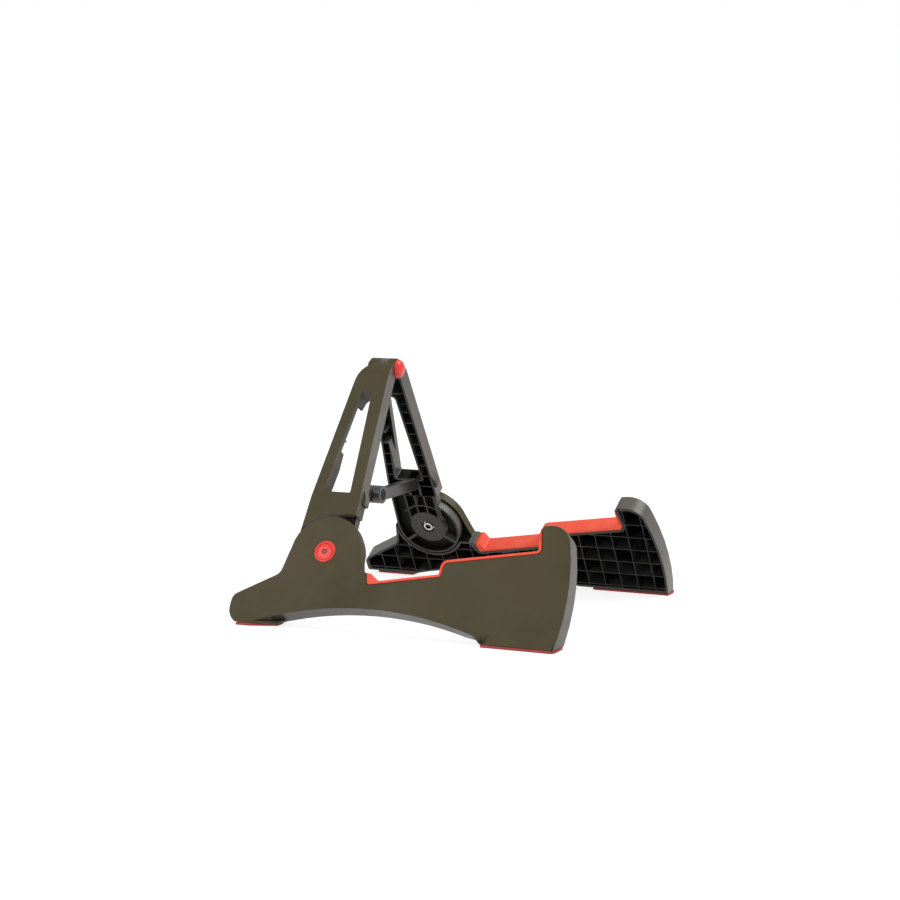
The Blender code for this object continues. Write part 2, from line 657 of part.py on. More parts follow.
def make_upright(side, frame, parts, cutters, materials):
    outline = upright_outline()
    name = f"{side}_upright"
    plastic = materials["outer_plastic"]
    upright = prism(name, frame, outline, PLATE_W, DEPTH, parts, plastic, SOFT_EDGE)
    beyond = DEPTH + 1.0
    floor_w = PLATE_W + FACE_WALL
    hinge = (0.0, HINGE_V, HINGE_W)

    def tool(kind, *args):
        return prism(f"{name}_{kind}", frame, *args, cutters)

    carve(upright, crown_cutter(side, cutters))
    carve(upright, centre_cutter(side, cutters))
    carve(upright, section(f"{name}_shoulder", frame, shoulder_outline(0.0), cutters))
    for owner, spans in KNUCKLES.items():
        for i, (low, high) in enumerate(spans):
            own = owner == side
            radius = BARREL_RADIUS + (0.0 if own else BARREL_CLEARANCE)
            spare = 0.0 if own else FIT
            barrel = rod(
                f"{name}_{owner}_knuckle_{i}", frame, radius, low - spare, high + spare, hinge, cutters,
                along="u",
            )
            combine(upright, barrel, "UNION" if own else "DIFFERENCE", "MANIFOLD")
    pin_hole = rod(
        f"{name}_pin_hole", frame, PIN_RADIUS + 0.1, BARREL_U[0] - 5.0, BARREL_U[1] + 0.6, hinge, cutters,
        along="u", steps=SMALL_STEPS,
    )
    carve(upright, pin_hole)
    cap_space = rod(
        f"{name}_cap_space", frame, HINGE_CAP_RADIUS + FIT, BARREL_U[1] + 0.01, BARREL_U[1] + 9.0, hinge,
        cutters, along="u",
    )
    carve(upright, cap_space)
    rear_space = rod(
        f"{name}_rear_cap_space", frame, HINGE_CAP_RADIUS + FIT, BARREL_U[0] - 9.0, BARREL_U[0] - 0.01, hinge,
        cutters, along="u",
    )
    carve(upright, rear_space)
    combine(upright, lug(name, frame, cutters), "UNION", "MANIFOLD")
    carve(upright, tool("plate_cut", plate_cut_outline(), -1.0, HUB_DEPTH + FIT))
    window = rounded(WINDOW_CORNERS)
    carve(upright, tool("window", window, -1.0, beyond))

    housing_low = (LINK_U[side][0] - FIT - EAR, PLATE_CORNER[1] + 1.0)
    housing_high = (LINK_U[side][1] + FIT + EAR, WINDOW_CORNERS[0][1])
    cells = tool("cells", offset(outline, RAIL_WALL), floor_w, beyond)
    row_size = (2 * PIVOT_U, ROW_PITCH - RIB)
    grid = cell_grid(
        f"{name}_rows", frame, (0.0, ROW_START_V), row_size, (0.0, ROW_PITCH), (1, ROW_COUNT),
        floor_w - 1.0, beyond + 1.0, cutters,
    )
    combine(cells, grid, "INTERSECT")
    combine(cells, tool("window_wall", offset(window, -RAIL_WALL), 0.0, beyond + 2.0))
    combine(cells, tool("link_housing", rectangle(housing_low, housing_high), 0.0, beyond + 3.0))
    combine(cells, section(f"{name}_shoulder_wall", frame, shoulder_outline(FACE_WALL), cutters))
    wall_radius = BARREL_RADIUS + BARREL_CLEARANCE + RAIL_WALL
    combine(cells, rod(f"{name}_barrel_wall", frame, wall_radius, 0.0, FRONT_U, hinge, cutters, along="u"))
    carve(upright, cells)
    rear_u = LINK_U["right"][0] - FIT
    knuckle_top = LINK_V + LINK_LENGTH + KNUCKLE_RADIUS + 1.0
    stow = [(rear_u, STOW_V), (MIDDLE_U / 2, STOW_V), (MIDDLE_U / 2, STOW_TOP_V)]
    stow += [(rear_u + 2.0, STOW_TOP_V)]
    stow += [(rear_u, knuckle_top)]
    carve(upright, tool("stow", stow, STOW_W, beyond))

    pocket_low = (LINK_U[side][0] - FIT, LINK_V - 8.6)
    pocket_high = (LINK_U[side][1] + FIT, WINDOW_CORNERS[0][1] + 2.0)
    carve(upright, tool("link_pocket", rectangle(pocket_low, pocket_high), floor_w, beyond))
    pin_low, pin_high = link_pin_span(side)
    link_axis = (0.0, LINK_V, LINK_W)
    link_hole = rod(
        f"{name}_link_hole", frame, LINK_PIN_RADIUS + 0.1, pin_low - FIT, pin_high + FIT, link_axis, cutters,
        along="u", steps=SMALL_STEPS,
    )
    carve(upright, link_hole)
    cut_disc(name, frame, outline, upright, cutters)
    return upright


def crown_cutter(side, cutters):
    """Trims the upright level with the top of the hinge barrel."""
    reach = 2 * SPREAD
    top = HINGE_Z + BARREL_RADIUS - 0.15
    return box_cutter(f"{side}_crown_cut", (-reach, -reach, top), (reach, reach, top + reach), cutters)


def centre_cutter(side, cutters):
    """Trims the upright where it would reach past the middle, beside and above the hinge."""
    reach = 2 * SPREAD
    ends = sorted((SIDES[side] * FOLD_GAP, -SIDES[side] * reach))
    low, high = (-reach, ends[0], HINGE_Z - 2.0), (reach, ends[1], HINGE_Z + reach)
    return box_cutter(f"{side}_centre_cut", low, high, cutters)


def section(name, frame, outline, cutters):
    """A cutter with an outline in v and w, along the whole of u."""
    mesh = extruded_mesh(name, [(v, frame.side * w) for v, w in outline], 2 * FRONT_U)
    # The outline's plane turns so that its first axis is v and its normal is u
    mesh.transform(Matrix(((0, 0, 1, 0), (1, 0, 0, 0), (0, 1, 0, 0), (0, 0, 0, 1))))
    return place(bpy.data.objects.new(name, mesh), frame, cutters, None)


def shoulder_outline(inset):
    """What lies outside the curve from the outer face in to the hinge barrel."""
    centre = (SHOULDER_V, PLATE_W + SHOULDER_RADIUS)
    down = -math.pi / 2
    curve = arc(centre, SHOULDER_RADIUS - inset, down, down + math.radians(44.0), 6)
    outside_w = PLATE_W - 10.0
    far_v = HINGE_V + 30.0
    return [(curve[0][0], outside_w)] + curve + [(far_v, curve[-1][1]), (far_v, outside_w)]


def lug(name, frame, cutters):
    """A small nose on the front edge that passes in front of the pad's turned-up end when folded."""
    front = PLATE_CORNER[0]
    corners = [
        (front - 4.0, LUG_V[0]),
        (front + LUG_REACH - 0.6, LUG_V[0]),
        (front + LUG_REACH, LUG_V[0] + 0.8),
        (front + LUG_REACH, LUG_V[1]),
        (front - 1.2, LUG_V[1] + 9.0),
        (front - 4.0, LUG_V[1] + 9.0),
    ]
    return prism(f"{name}_lug", frame, corners, HUB_DEPTH + FIT, DEPTH - 0.1, cutters)


def cut_disc(name, frame, outline, upright, cutters):
    """Hollows the disc and the tongue above it from the inner side, and bores the pivot."""
    pivot = (PIVOT_U, PIVOT_V, 0.0)
    beyond = DEPTH + 1.0

    def tool(kind, *args):
        return prism(f"{name}_{kind}", frame, *args, cutters)

    hollow = tool("disc_hollow", offset(outline, RAIL_WALL), DISC_FLOOR_W, beyond)
    field_low = (0.0, PIVOT_V - 2 * DISC_RADIUS)
    field_high = (2 * PIVOT_U, PLATE_CORNER[1] - 0.2)
    field = tool("disc_field", rectangle(field_low, field_high), DISC_FLOOR_W - 1.0, beyond + 1.0)
    combine(hollow, field, "INTERSECT")
    combine(hollow, tool("boss", circle(pivot, BOSS_RADIUS), DISC_FLOOR_W - 1.0, beyond + 2.0))
    ring_low, ring_high = DISC_RADIUS - 5.6, DISC_RADIUS - 4.4
    arch = arc(pivot, ring_high, math.radians(52), math.radians(138), 12)
    arch += arc(pivot, ring_low, math.radians(138), math.radians(52), 12)
    combine(hollow, tool("arch_rib", arch, DISC_FLOOR_W - 1.0, beyond + 2.0))
    for i, u in enumerate((PIVOT_U - 14.0, PIVOT_U - 5.0, PIVOT_U + 4.0, PIVOT_U + 13.0)):
        low_v = PIVOT_V + math.sqrt(BOSS_RADIUS**2 - (u - PIVOT_U) ** 2) - 1.0
        rib = rectangle((u - RIB / 2, low_v), (u + RIB / 2, field_high[1] + 1.0))
        combine(hollow, tool(f"tongue_rib_{i}", rib, DISC_FLOOR_W - 1.0, beyond + 2.0))
    for i, angle in enumerate((math.radians(-35), math.radians(215))):
        near = BOSS_RADIUS - 1.0
        far = DISC_RADIUS
        side_u = -math.sin(angle) * RIB
        side_v = math.cos(angle) * RIB
        inner = about_pivot(near, angle)
        outer = about_pivot(far, angle)
        corners = [
            (inner[0] - side_u, inner[1] - side_v),
            (outer[0] - side_u, outer[1] - side_v),
            (outer[0] + side_u, outer[1] + side_v),
            (inner[0] + side_u, inner[1] + side_v),
        ]
        combine(hollow, tool(f"disc_rib_{i}", corners, DISC_FLOOR_W - 1.0, beyond + 2.0))
    carve(upright, hollow)
    boss_top = DEPTH - BOSS_DROP
    carve(upright, tool("boss_face", circle(pivot, BOSS_RADIUS - 0.01), boss_top, beyond))
    nut_seat = NUT_W[0] - FIT
    washer_top = HUB_DEPTH + 2 * FIT + WASHER_THICKNESS
    bore = [
        (0.0, beyond),
        (NUT_RADIUS + 2 * FIT, beyond),
        (NUT_RADIUS + 2 * FIT, nut_seat),
        (BOLT_RADIUS + 0.1, nut_seat),
        (BOLT_RADIUS + 0.1, washer_top),
        (WASHER_RADIUS + FIT, washer_top),
        (WASHER_RADIUS + FIT, HUB_DEPTH - 1.0),
        (0.0, HUB_DEPTH - 1.0),
    ]
    carve(upright, turned(f"{name}_bore", frame, bore, pivot, cutters))


# Hinge and brace


def make_hinge(frame, parts, materials):
    axis = (0.0, HINGE_V, HINGE_W)
    low, high = BARREL_U
    steel = materials["steel"]
    pin_low, pin_high = low - PIN_OVERHANG, high + PIN_OVERHANG
    pin_profile = [
        (0.0, pin_high),
        (PIN_RADIUS - 0.4, pin_high),
        (PIN_RADIUS, pin_high - 0.4),
        (PIN_RADIUS, pin_low + 0.4),
        (PIN_RADIUS - 0.4, pin_low),
        (0.0, pin_low),
    ]
    turned("hinge_pin", frame, pin_profile, axis, parts, steel, "u", SMALL_STEPS)
    socket = PIN_RADIUS + FIT
    for name, face, way in (("hinge_cap_front", high + FIT, 1), ("hinge_cap_rear", low - FIT, -1)):
        outer = face + way * HINGE_CAP_THICKNESS
        deep = face + way * (PIN_OVERHANG + 0.1)
        profile = [
            (0.0, outer),
            (HINGE_CAP_RADIUS * 0.55, outer - way * 0.15),
            (HINGE_CAP_RADIUS - 0.9, outer - way * 0.5),
            (HINGE_CAP_RADIUS, outer - way * 1.2),
            (HINGE_CAP_RADIUS, face),
            (socket, face),
            (socket, deep),
            (0.0, deep),
        ]
        if way < 0:
            profile.reverse()
        turned(name, frame, profile, axis, parts, materials["red_plastic"], "u", SMALL_STEPS)


def link_pin_span(side):
    low, high = LINK_U[side]
    return low - FIT - EAR - LINK_PIN_OVERHANG, high + FIT + EAR + LINK_PIN_OVERHANG


def link_outline():
    """A bar from its pin at 0 to the knuckle, with a round end at each, seen along the pins."""
    near = LINK_HEIGHT / 2
    far = KNUCKLE_RADIUS
    blend = math.radians(42.0)
    inner_end = arc((LINK_LENGTH, 0.0), far, -math.pi + blend, math.pi - blend, 20)
    neck = far * math.cos(blend)
    drop = far * math.sin(blend)
    shoulder = LINK_LENGTH - neck - 2.0
    low = [(shoulder, -near)]
    high = [(shoulder, near)]
    pin_end = arc((0.0, 0.0), near, math.pi / 2, 3 * math.pi / 2, 12)
    assert drop >= near * 0.99, "the knuckle is at least as tall as the bar"
    return low + inner_end + high + pin_end


def make_link(side, empty, parts, cutters, materials):
    """A bar in the plane of the two axes' common normal. Its empty lies on its pin's axis."""
    low, high = LINK_U[side]
    mesh = extruded_mesh(f"{side}_link", link_outline(), high - low)
    obj = bpy.data.objects.new(f"{side}_link", mesh)
    obj.parent = empty
    obj.location = (((low + high) / 2 - MIDDLE_U) * MM, 0.0, 0.0)
    # The bar's length turns from X towards the middle of the stand, and its width to lie along X
    inwards = -SIDES[side]
    obj.matrix_basis = Matrix.Translation(obj.location) @ Matrix(
        ((0, 0, 1, 0), (inwards, 0, 0, 0), (0, inwards, 0, 0), (0, 0, 0, 1))
    )
    finish(obj, parts, materials["dark_plastic"])

    def across(name, radius, first, last, along_y, steps=SMALL_STEPS):
        piece = Frame(1, empty, (MIDDLE_U, 0.0, 0.0))
        where = (0.0, along_y, 0.0)
        return rod(name, piece, radius, first, last, where, cutters, along="u", steps=steps)

    hole = across(f"{side}_link_pin_hole", LINK_PIN_RADIUS + 0.1, low - 1.0, high + 1.0, 0.0)
    combine(obj, hole)
    tip = inwards * LINK_LENGTH
    if side == "left":
        seat = across("left_link_rivet_hole", RIVET_RADIUS + 0.1, low - 1.0, high + 1.0, tip)
        combine(obj, seat)
        sink_low = high - RIVET_HEAD_THICKNESS - FIT
        sink = across("left_link_rivet_sink", RIVET_HEAD_RADIUS + FIT, sink_low, high + 1.0, tip)
        combine(obj, sink)
    return obj


def make_brace(side, frame, empty, parts, cutters, materials):
    make_link(side, empty, parts, cutters, materials)
    pin_low, pin_high = link_pin_span(side)
    link_axis = (0.0, LINK_V, LINK_W)
    rod(
        f"{side}_link_pin", frame, LINK_PIN_RADIUS, pin_low, pin_high, link_axis, parts, materials["steel"],
        along="u", steps=SMALL_STEPS,
    )


def make_rivet(empty, parts, cutters, materials):
    """The knuckle's rivet, seated in the left link."""
    low, high = LINK_U["left"]
    piece = Frame(1, empty, (MIDDLE_U, 0.0, 0.0))
    head_low = high - RIVET_HEAD_THICKNESS
    profile = [
        (0.0, high),
        (RIVET_HEAD_RADIUS, high),
        (RIVET_HEAD_RADIUS, head_low),
        (RIVET_RADIUS, head_low),
        (RIVET_RADIUS, low),
        (0.0, low),
    ]
    where = (0.0, -LINK_LENGTH, 0.0)
    turned("knuckle_rivet", piece, profile, where, parts, materials["steel"], "u", SMALL_STEPS)


# Assembly


def new_empty(name, collection, parent, location, rotation=(0.0, 0.0, 0.0)):
    empty = bpy.data.objects.new(name, None)
    empty.parent = parent
    empty.location = [value * MM for value in location]
    empty.rotation_euler = rotation
    empty.empty_display_size = 0.02
    collection.objects.link(empty)
    return empty


def make_half(side, parts, cutters, materials):
    sign = SIDES[side]
    lean = (math.pi / 2 + sign * TILT, 0.0, 0.0)
    apex = new_empty(f"{side}_apex_axis", parts, None, (0.0, 0.0, HINGE_Z), lean)
    upright_frame = Frame(sign, apex, (MIDDLE_U, HINGE_V, HINGE_W))
    pivot_place = (PIVOT_U - MIDDLE_U, PIVOT_V - HINGE_V, -sign * HINGE_W)
    pivot_empty = new_empty(f"{side}_foot_axis", parts, apex, pivot_place)
    foot_frame = Frame(sign, pivot_empty, (PIVOT_U, PIVOT_V, 0.0))
    link_z = LINK_V * math.cos(TILT) - LINK_W * math.sin(TILT)
    link_empty = new_empty(f"{side}_link_axis", parts, None, (0.0, sign * LINK_LENGTH, link_z))

    make_upright(side, upright_frame, parts, cutters, materials)
    make_foot_panel(side, foot_frame, parts, cutters, materials)
    make_cradle_pad(side, foot_frame, parts, materials)
    rubber = materials["red_rubber"]
    for foot, lower_edge in (("toe", TOE_SOLE), ("front", FRONT_SOLE)):
        strip_name = f"{side}_{foot}_foot"
        sole_slab(strip_name, foot_frame, lower_edge, 0.0, STRIP_THICKNESS, parts, cutters, rubber)
    make_pivot(side, foot_frame, parts, cutters, materials)
    make_brace(side, upright_frame, link_empty, parts, cutters, materials)
    if side == "left":
        make_rivet(link_empty, parts, cutters, materials)
    else:
        make_hinge(upright_frame, parts, materials)


def main():
    clear_scene()
    parts = new_collection("guitar_stand")
    cutters = new_collection("cutters")
    materials = make_materials()
    for side in SIDES:
        make_half(side, parts, cutters, materials)
    bpy.context.view_layer.update()


main()
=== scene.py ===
"""The folding guitar stand, finished: moulded shells, rubber, red caps and plated hardware.

The mouldings are drawn flat, as a pattern maker draws them: u runs forwards, v up along the moulding
and w inwards from its outer face. Sizes are in millimetres until a piece is placed.
"""

import math

import bmesh
import bpy
import numpy as np
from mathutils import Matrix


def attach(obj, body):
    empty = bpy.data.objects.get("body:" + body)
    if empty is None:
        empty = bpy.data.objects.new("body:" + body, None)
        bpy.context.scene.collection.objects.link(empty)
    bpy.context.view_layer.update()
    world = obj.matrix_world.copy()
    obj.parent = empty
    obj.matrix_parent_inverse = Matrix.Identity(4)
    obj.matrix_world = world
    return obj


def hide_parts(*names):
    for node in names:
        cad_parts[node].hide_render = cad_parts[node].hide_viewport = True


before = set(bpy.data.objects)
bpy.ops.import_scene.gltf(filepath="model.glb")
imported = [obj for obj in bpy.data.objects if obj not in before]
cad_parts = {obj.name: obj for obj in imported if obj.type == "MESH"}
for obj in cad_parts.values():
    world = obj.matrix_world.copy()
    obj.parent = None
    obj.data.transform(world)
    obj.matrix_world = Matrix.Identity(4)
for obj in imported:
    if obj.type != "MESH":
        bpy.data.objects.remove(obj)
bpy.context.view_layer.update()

MM = 0.001
SIDES = {"left": 1, "right": -1}

# Sizes and places that the pieces share with the frame
TILT = math.radians(31.5)
DEPTH = 16.0
FACE_WALL = 2.2
PANEL_W, UPRIGHT_W = 0.0, 3.0  # depths of the two outer faces
FIT = 0.3
PIVOT_U, PIVOT_V = 71.6, 67.9
HUB_RADIUS, DISC_RADIUS = 31.0, 29.0
HUB_DEPTH = 8.0
HINGE_V, HINGE_W = 239.7, 16.3
SPREAD = HINGE_V * math.sin(TILT) + HINGE_W * math.cos(TILT)
MIDDLE_U = 141.7
BARREL_U = (63.5, 83.0)
LINK_V, LINK_W = 112.0, 10.5
LINK_U = {"left": (65.3, 72.5), "right": (57.6, 65.0)}

# Light: 1 is white
PAPER_GREY, PAPER_GLOW = 0.34, 0.81
BOUNCE_GREY = 0.75  # of the floor as it lights the stand
ROOM_STRENGTH = 0.62

# Rubber
PAD_THICKNESS = 2.2
PAD_ROUNDING = 0.55
SOLE_THICKNESS = 2.0
SOLE_ROUNDING = 0.45
LIP_TOP, LIP_ROOT = (250.7, 103.4), (255.3, 80.3)
STEP_HIGH, STEP_LOW = (176.6, 66.2), (175.9, 54.5)
CRADLE_REAR, LEDGE_TOP = (114.7, 42.8), (112.2, 53.4)
HEEL_FRONT = (116.6, 52.7)
HEEL_FOOT_U = 119.9
TOE_EDGE = ((9.0, -0.5), (18.0, -0.5), (42.5, 4.75))
FRONT_EDGE = ((222.0, -0.5), (281.0, -0.5), (282.4, 3.0))
FRONT_LEAD = 8.0  # how much earlier the front strip's inner side starts
SOLE_LEDGE = 4.0  # least width of a strip where the moulding's lower edge climbs

# The lip's crown: as the frame has it, and as the finished shell rounds it
LIP_REAR_U, LIP_FOOT_V, LIP_BEND_V = 250.0, 78.0, 84.0
LIP_MIDDLE = (259.5, 86.2)
FRAME_LIP = ((252.9, 104.4, 0.0), (276.2, 96.9, 6.0), (277.4, 88.9, 1.0), (278.54, 84.0, 0.0))
ROUND_LIP = ((252.9, 103.9, 0.0), (273.4, 104.3, 17.0), (278.54, 84.0, 0.0))
CROWN_ANGLES = (-6.0, 110.0)  # degrees about the lip's middle, between which the crown swells
STILL_ANGLES = (-20.0, 130.0)  # and past which it stays as it was
LIP_CORNER_SHIFT = (-2.0, -0.5)  # of its rear corner, over the pad's end

# The upright's gap round the hub, and its window's top
FRAME_GAP, SHOWN_GAP = 1.0, 3.0
GAP_FOOT_V = 84.0
WINDOW_DROP, WINDOW_REAR_DROP = 2.6, 3.8

# Ribs
RIB = 1.2
RIB_TOP_SHARE = 0.48  # of a rib's foot thickness, left at its top by the mould's draft
CELL_PITCH = (15.0, 13.8)
CELL_START = (3.0, 4.0)
ROW_PITCH, ROW_START_V = 11.4, 103.2
LOWEST_ROW_V = 100.0

# Finishes of a moulding, and where they change. The moulding is one olive plastic: its pale finish
# is painted light, and its dark and grey finishes are painted shade
SHELL_FINISHES = ("face", "edge", "inside", "rim")
FACE, PAINTED_LIGHT, PAINTED_SHADE, PAINTED_GREY_SHADE = range(4)
SQUARE, LEANING = 0.7, 0.3  # parts of a face's normal along an axis that it looks along, or leans to
SOFT_EDGE = 0.9  # depth of the rounding round an outer face
# below the first, the outer face's rounding is a painted highlight; above the second, walls are painted light
CROWN_FACE_V, CROWN_WALL_V = 222.0, 226.0
RIM_DEPTH = 3.0  # what ends this near to the inner side is painted grey on top, as shade
GROUND_Z = 14.0  # walls that face the ground below this height are painted pale, as the floor's light
HUB_WALL_V = 58.0
SHOULDER_U, SHOULDER_V, SHOULDER_REACH = 25.0, 54.5, 40.0  # of the hub's front, to the ledge
# the boss's top, within this radius and deeper than this, is painted grey as shade
BOSS_RADIUS, BOSS_TOP_W = 17.0, 14.5
AGAINST_HUB_W, AGAINST_HUB_V = 5.0, 104.0  # deeper and lower than this, the upright faces the hub and is painted dark, as shade
# in front of this, the rail's walls are painted pale as light
FRONT_RAIL_U = 84.5
STOW_CUT_U, STOW_CUT_V = (53.5, 60.0), (140.0, 203.0)  # in the rear rail, for the folded brace
# the window's sill, painted dark as shade
SILL_V = 121.3

ROUND_STEPS = 72
PIN_STEPS = 48
AXIS_CLEAR = 1.5  # points nearer to the axis get no thread


def new_object(name, data):
    """A new object in the scene, at the origin."""
    obj = bpy.data.objects.new(name, data)
    bpy.context.scene.collection.objects.link(obj)
    return obj


def grey(value):
    return (value, value, value, 1.0)


# Camera, floor and light


def make_camera():
    """A long lens in front of the stand and a little above it, at the photograph's viewing angle."""
    lens = bpy.data.cameras.new("camera")
    lens.lens = 95.5
    lens.sensor_width = 36.0
    lens.clip_end = 20.0
    camera = new_object("camera", lens)
    camera.location = (0.7998, -1.770, 0.378)
    camera.rotation_euler = (math.radians(82.76), 0.0, math.radians(24.53))
    bpy.context.scene.camera = camera


def seen_directly(nodes, links):
    """1 for a ray that comes from the camera or by way of gloss or glass, and 0 for any other."""
    path = nodes.new("ShaderNodeLightPath")
    gloss = nodes.new("ShaderNodeMath")
    gloss.operation = "MAXIMUM"
    links.new(path.outputs["Is Camera Ray"], gloss.inputs[0])
    links.new(path.outputs["Is Glossy Ray"], gloss.inputs[1])
    either = nodes.new("ShaderNodeMath")
    either.operation = "MAXIMUM"
    links.new(gloss.outputs[0], either.inputs[0])
    links.new(path.outputs["Is Transmission Ray"], either.inputs[1])
    return either.outputs[0]


def switched(nodes, links, switch, at_0, at_1):
    """The first shader where the switch is 0, and the second where it is 1."""
    choose = nodes.new("ShaderNodeMixShader")
    links.new(switch, choose.inputs[0])
    links.new(at_0.outputs[0], choose.inputs[1])
    links.new(at_1.outputs[0], choose.inputs[2])
    return choose.outputs[0]


def make_floor():
    """A wide white sheet. Most of its white is its own, so the stand's shadow stays faint."""
    half = 4.0
    mesh = bpy.data.meshes.new("floor")
    corners = [(-half, -half, 0.0), (half, -half, 0.0), (half, half, 0.0), (-half, half, 0.0)]
    mesh.from_pydata(corners, [], [(0, 1, 2, 3)])
    floor = new_object("floor", mesh)
    material = bpy.data.materials.new("white_paper")
    material.use_nodes = True
    nodes, links = material.node_tree.nodes, material.node_tree.links
    nodes.clear()
    paper = nodes.new("ShaderNodeBsdfDiffuse")
    paper.inputs["Color"].default_value = grey(PAPER_GREY)
    glow = nodes.new("ShaderNodeEmission")
    glow.inputs["Color"].default_value = grey(1.0)
    glow.inputs["Strength"].default_value = PAPER_GLOW
    both = nodes.new("ShaderNodeAddShader")
    links.new(paper.outputs[0], both.inputs[0])
    links.new(glow.outputs[0], both.inputs[1])
    plain = nodes.new("ShaderNodeBsdfDiffuse")
    plain.inputs["Color"].default_value = grey(BOUNCE_GREY)
    out = nodes.new("ShaderNodeOutputMaterial")
    links.new(switched(nodes, links, seen_directly(nodes, links), plain, both), out.inputs["Surface"])
    mesh.materials.append(material)


def make_world():
    """White where the camera sees it, and a plain pale room where it lights the stand."""
    world = bpy.data.worlds.new("room")
    bpy.context.scene.world = world
    world.use_nodes = True
    nodes, links = world.node_tree.nodes, world.node_tree.links
    nodes.clear()
    whites = []
    for strength in (ROOM_STRENGTH, 1.0):
        white = nodes.new("ShaderNodeBackground")
        white.inputs["Color"].default_value = grey(1.0)
        white.inputs["Strength"].default_value = strength
        whites.append(white)
    path = nodes.new("ShaderNodeLightPath")
    out = nodes.new("ShaderNodeOutputWorld")
    links.new(switched(nodes, links, path.outputs["Is Camera Ray"], *whites), out.inputs["Surface"])


def make_lamp(name, place, aim, size, power):
    """A soft square lamp that looks from its place towards the point that it is aimed at."""
    light = bpy.data.lights.new(name, "AREA")
    light.shape = "SQUARE"
    light.size = size
    light.energy = power
    lamp = new_object(name, light)
    away = np.array(place) - np.array(aim)
    flat = math.hypot(away[0], away[1])
    lamp.location = place
    lamp.rotation_euler = (math.atan2(flat, away[2]), 0.0, math.atan2(away[0], -away[1]))


# Finishes


def new_finish(name):
    material = bpy.data.materials.new(name)
    material.use_nodes = True
    nodes, links = material.node_tree.nodes, material.node_tree.links
    return material, nodes, links, nodes["Principled BSDF"]


def pattern(nodes, links, scale, detail, roughness=0.5):
    """Noise on the stand's own coordinates, with scale given in lumps for each metre."""
    where = nodes.new("ShaderNodeTexCoord")
    noise = nodes.new("ShaderNodeTexNoise")
    noise.inputs["Scale"].default_value = scale
    noise.inputs["Detail"].default_value = detail
    noise.inputs["Roughness"].default_value = roughness
    links.new(where.outputs["Object"], noise.inputs["Vector"])
    return noise.outputs["Fac"]


def spread_over(nodes, links, value, first, last):
    """Spreads a pattern's middle range, 0.3 to 0.7, over the numbers first to last."""
    reach = nodes.new("ShaderNodeMapRange")
    reach.inputs["From Min"].default_value = 0.3
    reach.inputs["From Max"].default_value = 0.7
    reach.inputs["To Min"].default_value = first
    reach.inputs["To Max"].default_value = last
    links.new(value, reach.inputs["Value"])
    return reach.outputs["Result"]


def tint(nodes, links, value, *stops):
    """Colours a pattern: each stop is a place from 0 to 1 and a colour."""
    ramp = nodes.new("ShaderNodeValToRGB")
    ramp.color_ramp.elements[0].position = stops[0][0]
    ramp.color_ramp.elements[0].color = (*stops[0][1], 1.0)
    ramp.color_ramp.elements[1].position = stops[-1][0]
    ramp.color_ramp.elements[1].color = (*stops[-1][1], 1.0)
    for place, colour in stops[1:-1]:
        ramp.color_ramp.elements.new(place).color = (*colour, 1.0)
    links.new(value, ramp.inputs["Fac"])
    return ramp.outputs["Color"]


def raised(nodes, links, value, depth, strength, under=None):
    """Turns a pattern into relief of that depth in metres, on top of the relief under it."""
    bump = nodes.new("ShaderNodeBump")
    bump.inputs["Distance"].default_value = depth
    bump.inputs["Strength"].default_value = strength
    links.new(value, bump.inputs["Height"])
    if under is not None:
        links.new(under, bump.inputs["Normal"])
    return bump.outputs["Normal"]


def moulded_plastic(name, tones, roughness, gloss, grain_depth):
    """Moulded plastic: broad faint clouds in its colour, fine spark-eroded grain and handling rub.

    The tones are its dark, middle and light colour, and the grain's depth is in metres.
    """
    material, nodes, links, shader = new_finish(name)
    clouds = pattern(nodes, links, scale=14.0, detail=3.0)
    shader.inputs["Specular IOR Level"].default_value = gloss
    colour = tint(nodes, links, clouds, *zip((0.32, 0.5, 0.7), tones))
    links.new(colour, shader.inputs["Base Color"])
    rub = pattern(nodes, links, scale=45.0, detail=4.0, roughness=0.6)
    dullness = spread_over(nodes, links, rub, roughness - 0.05, roughness + 0.07)
    links.new(dullness, shader.inputs["Roughness"])
    grain = pattern(nodes, links, scale=2600.0, detail=2.0)
    pits = pattern(nodes, links, scale=700.0, detail=2.0)
    coarse = raised(nodes, links, pits, grain_depth * 1.5, strength=0.35)
    links.new(raised(nodes, links, grain, grain_depth, 0.5, coarse), shader.inputs["Normal"])
    return material


def soft_rubber(name, tones, roughness):
    """Soft rubber: an even bloom over the colour, a dull skin and a fine matt texture."""
    material, nodes, links, shader = new_finish(name)
    bloom = pattern(nodes, links, scale=60.0, detail=4.0)
    links.new(tint(nodes, links, bloom, *zip((0.3, 0.5, 0.72), tones)), shader.inputs["Base Color"])
    dust = pattern(nodes, links, scale=180.0, detail=3.0)
    dullness = spread_over(nodes, links, dust, roughness - 0.06, roughness + 0.08)
    links.new(dullness, shader.inputs["Roughness"])
    skin = pattern(nodes, links, scale=3200.0, detail=2.0)
    links.new(raised(nodes, links, skin, depth=0.00004, strength=0.5), shader.inputs["Normal"])
    return material


def plated_steel(name):
    """Bright zinc plate: metal with faint cloudy patches and fine rub marks."""
    material, nodes, links, shader = new_finish(name)
    shader.inputs["Metallic"].default_value = 1.0
    clouds = pattern(nodes, links, scale=260.0, detail=3.0)
    tones = ((0.3, (0.55, 0.55, 0.56)), (0.5, (0.68, 0.68, 0.69)), (0.7, (0.78, 0.78, 0.78)))
    links.new(tint(nodes, links, clouds, *tones), shader.inputs["Base Color"])
    marks = pattern(nodes, links, scale=900.0, detail=4.0)
    links.new(spread_over(nodes, links, marks, 0.2, 0.36), shader.inputs["Roughness"])
    links.new(raised(nodes, links, marks, depth=0.00002, strength=0.3), shader.inputs["Normal"])
    return material


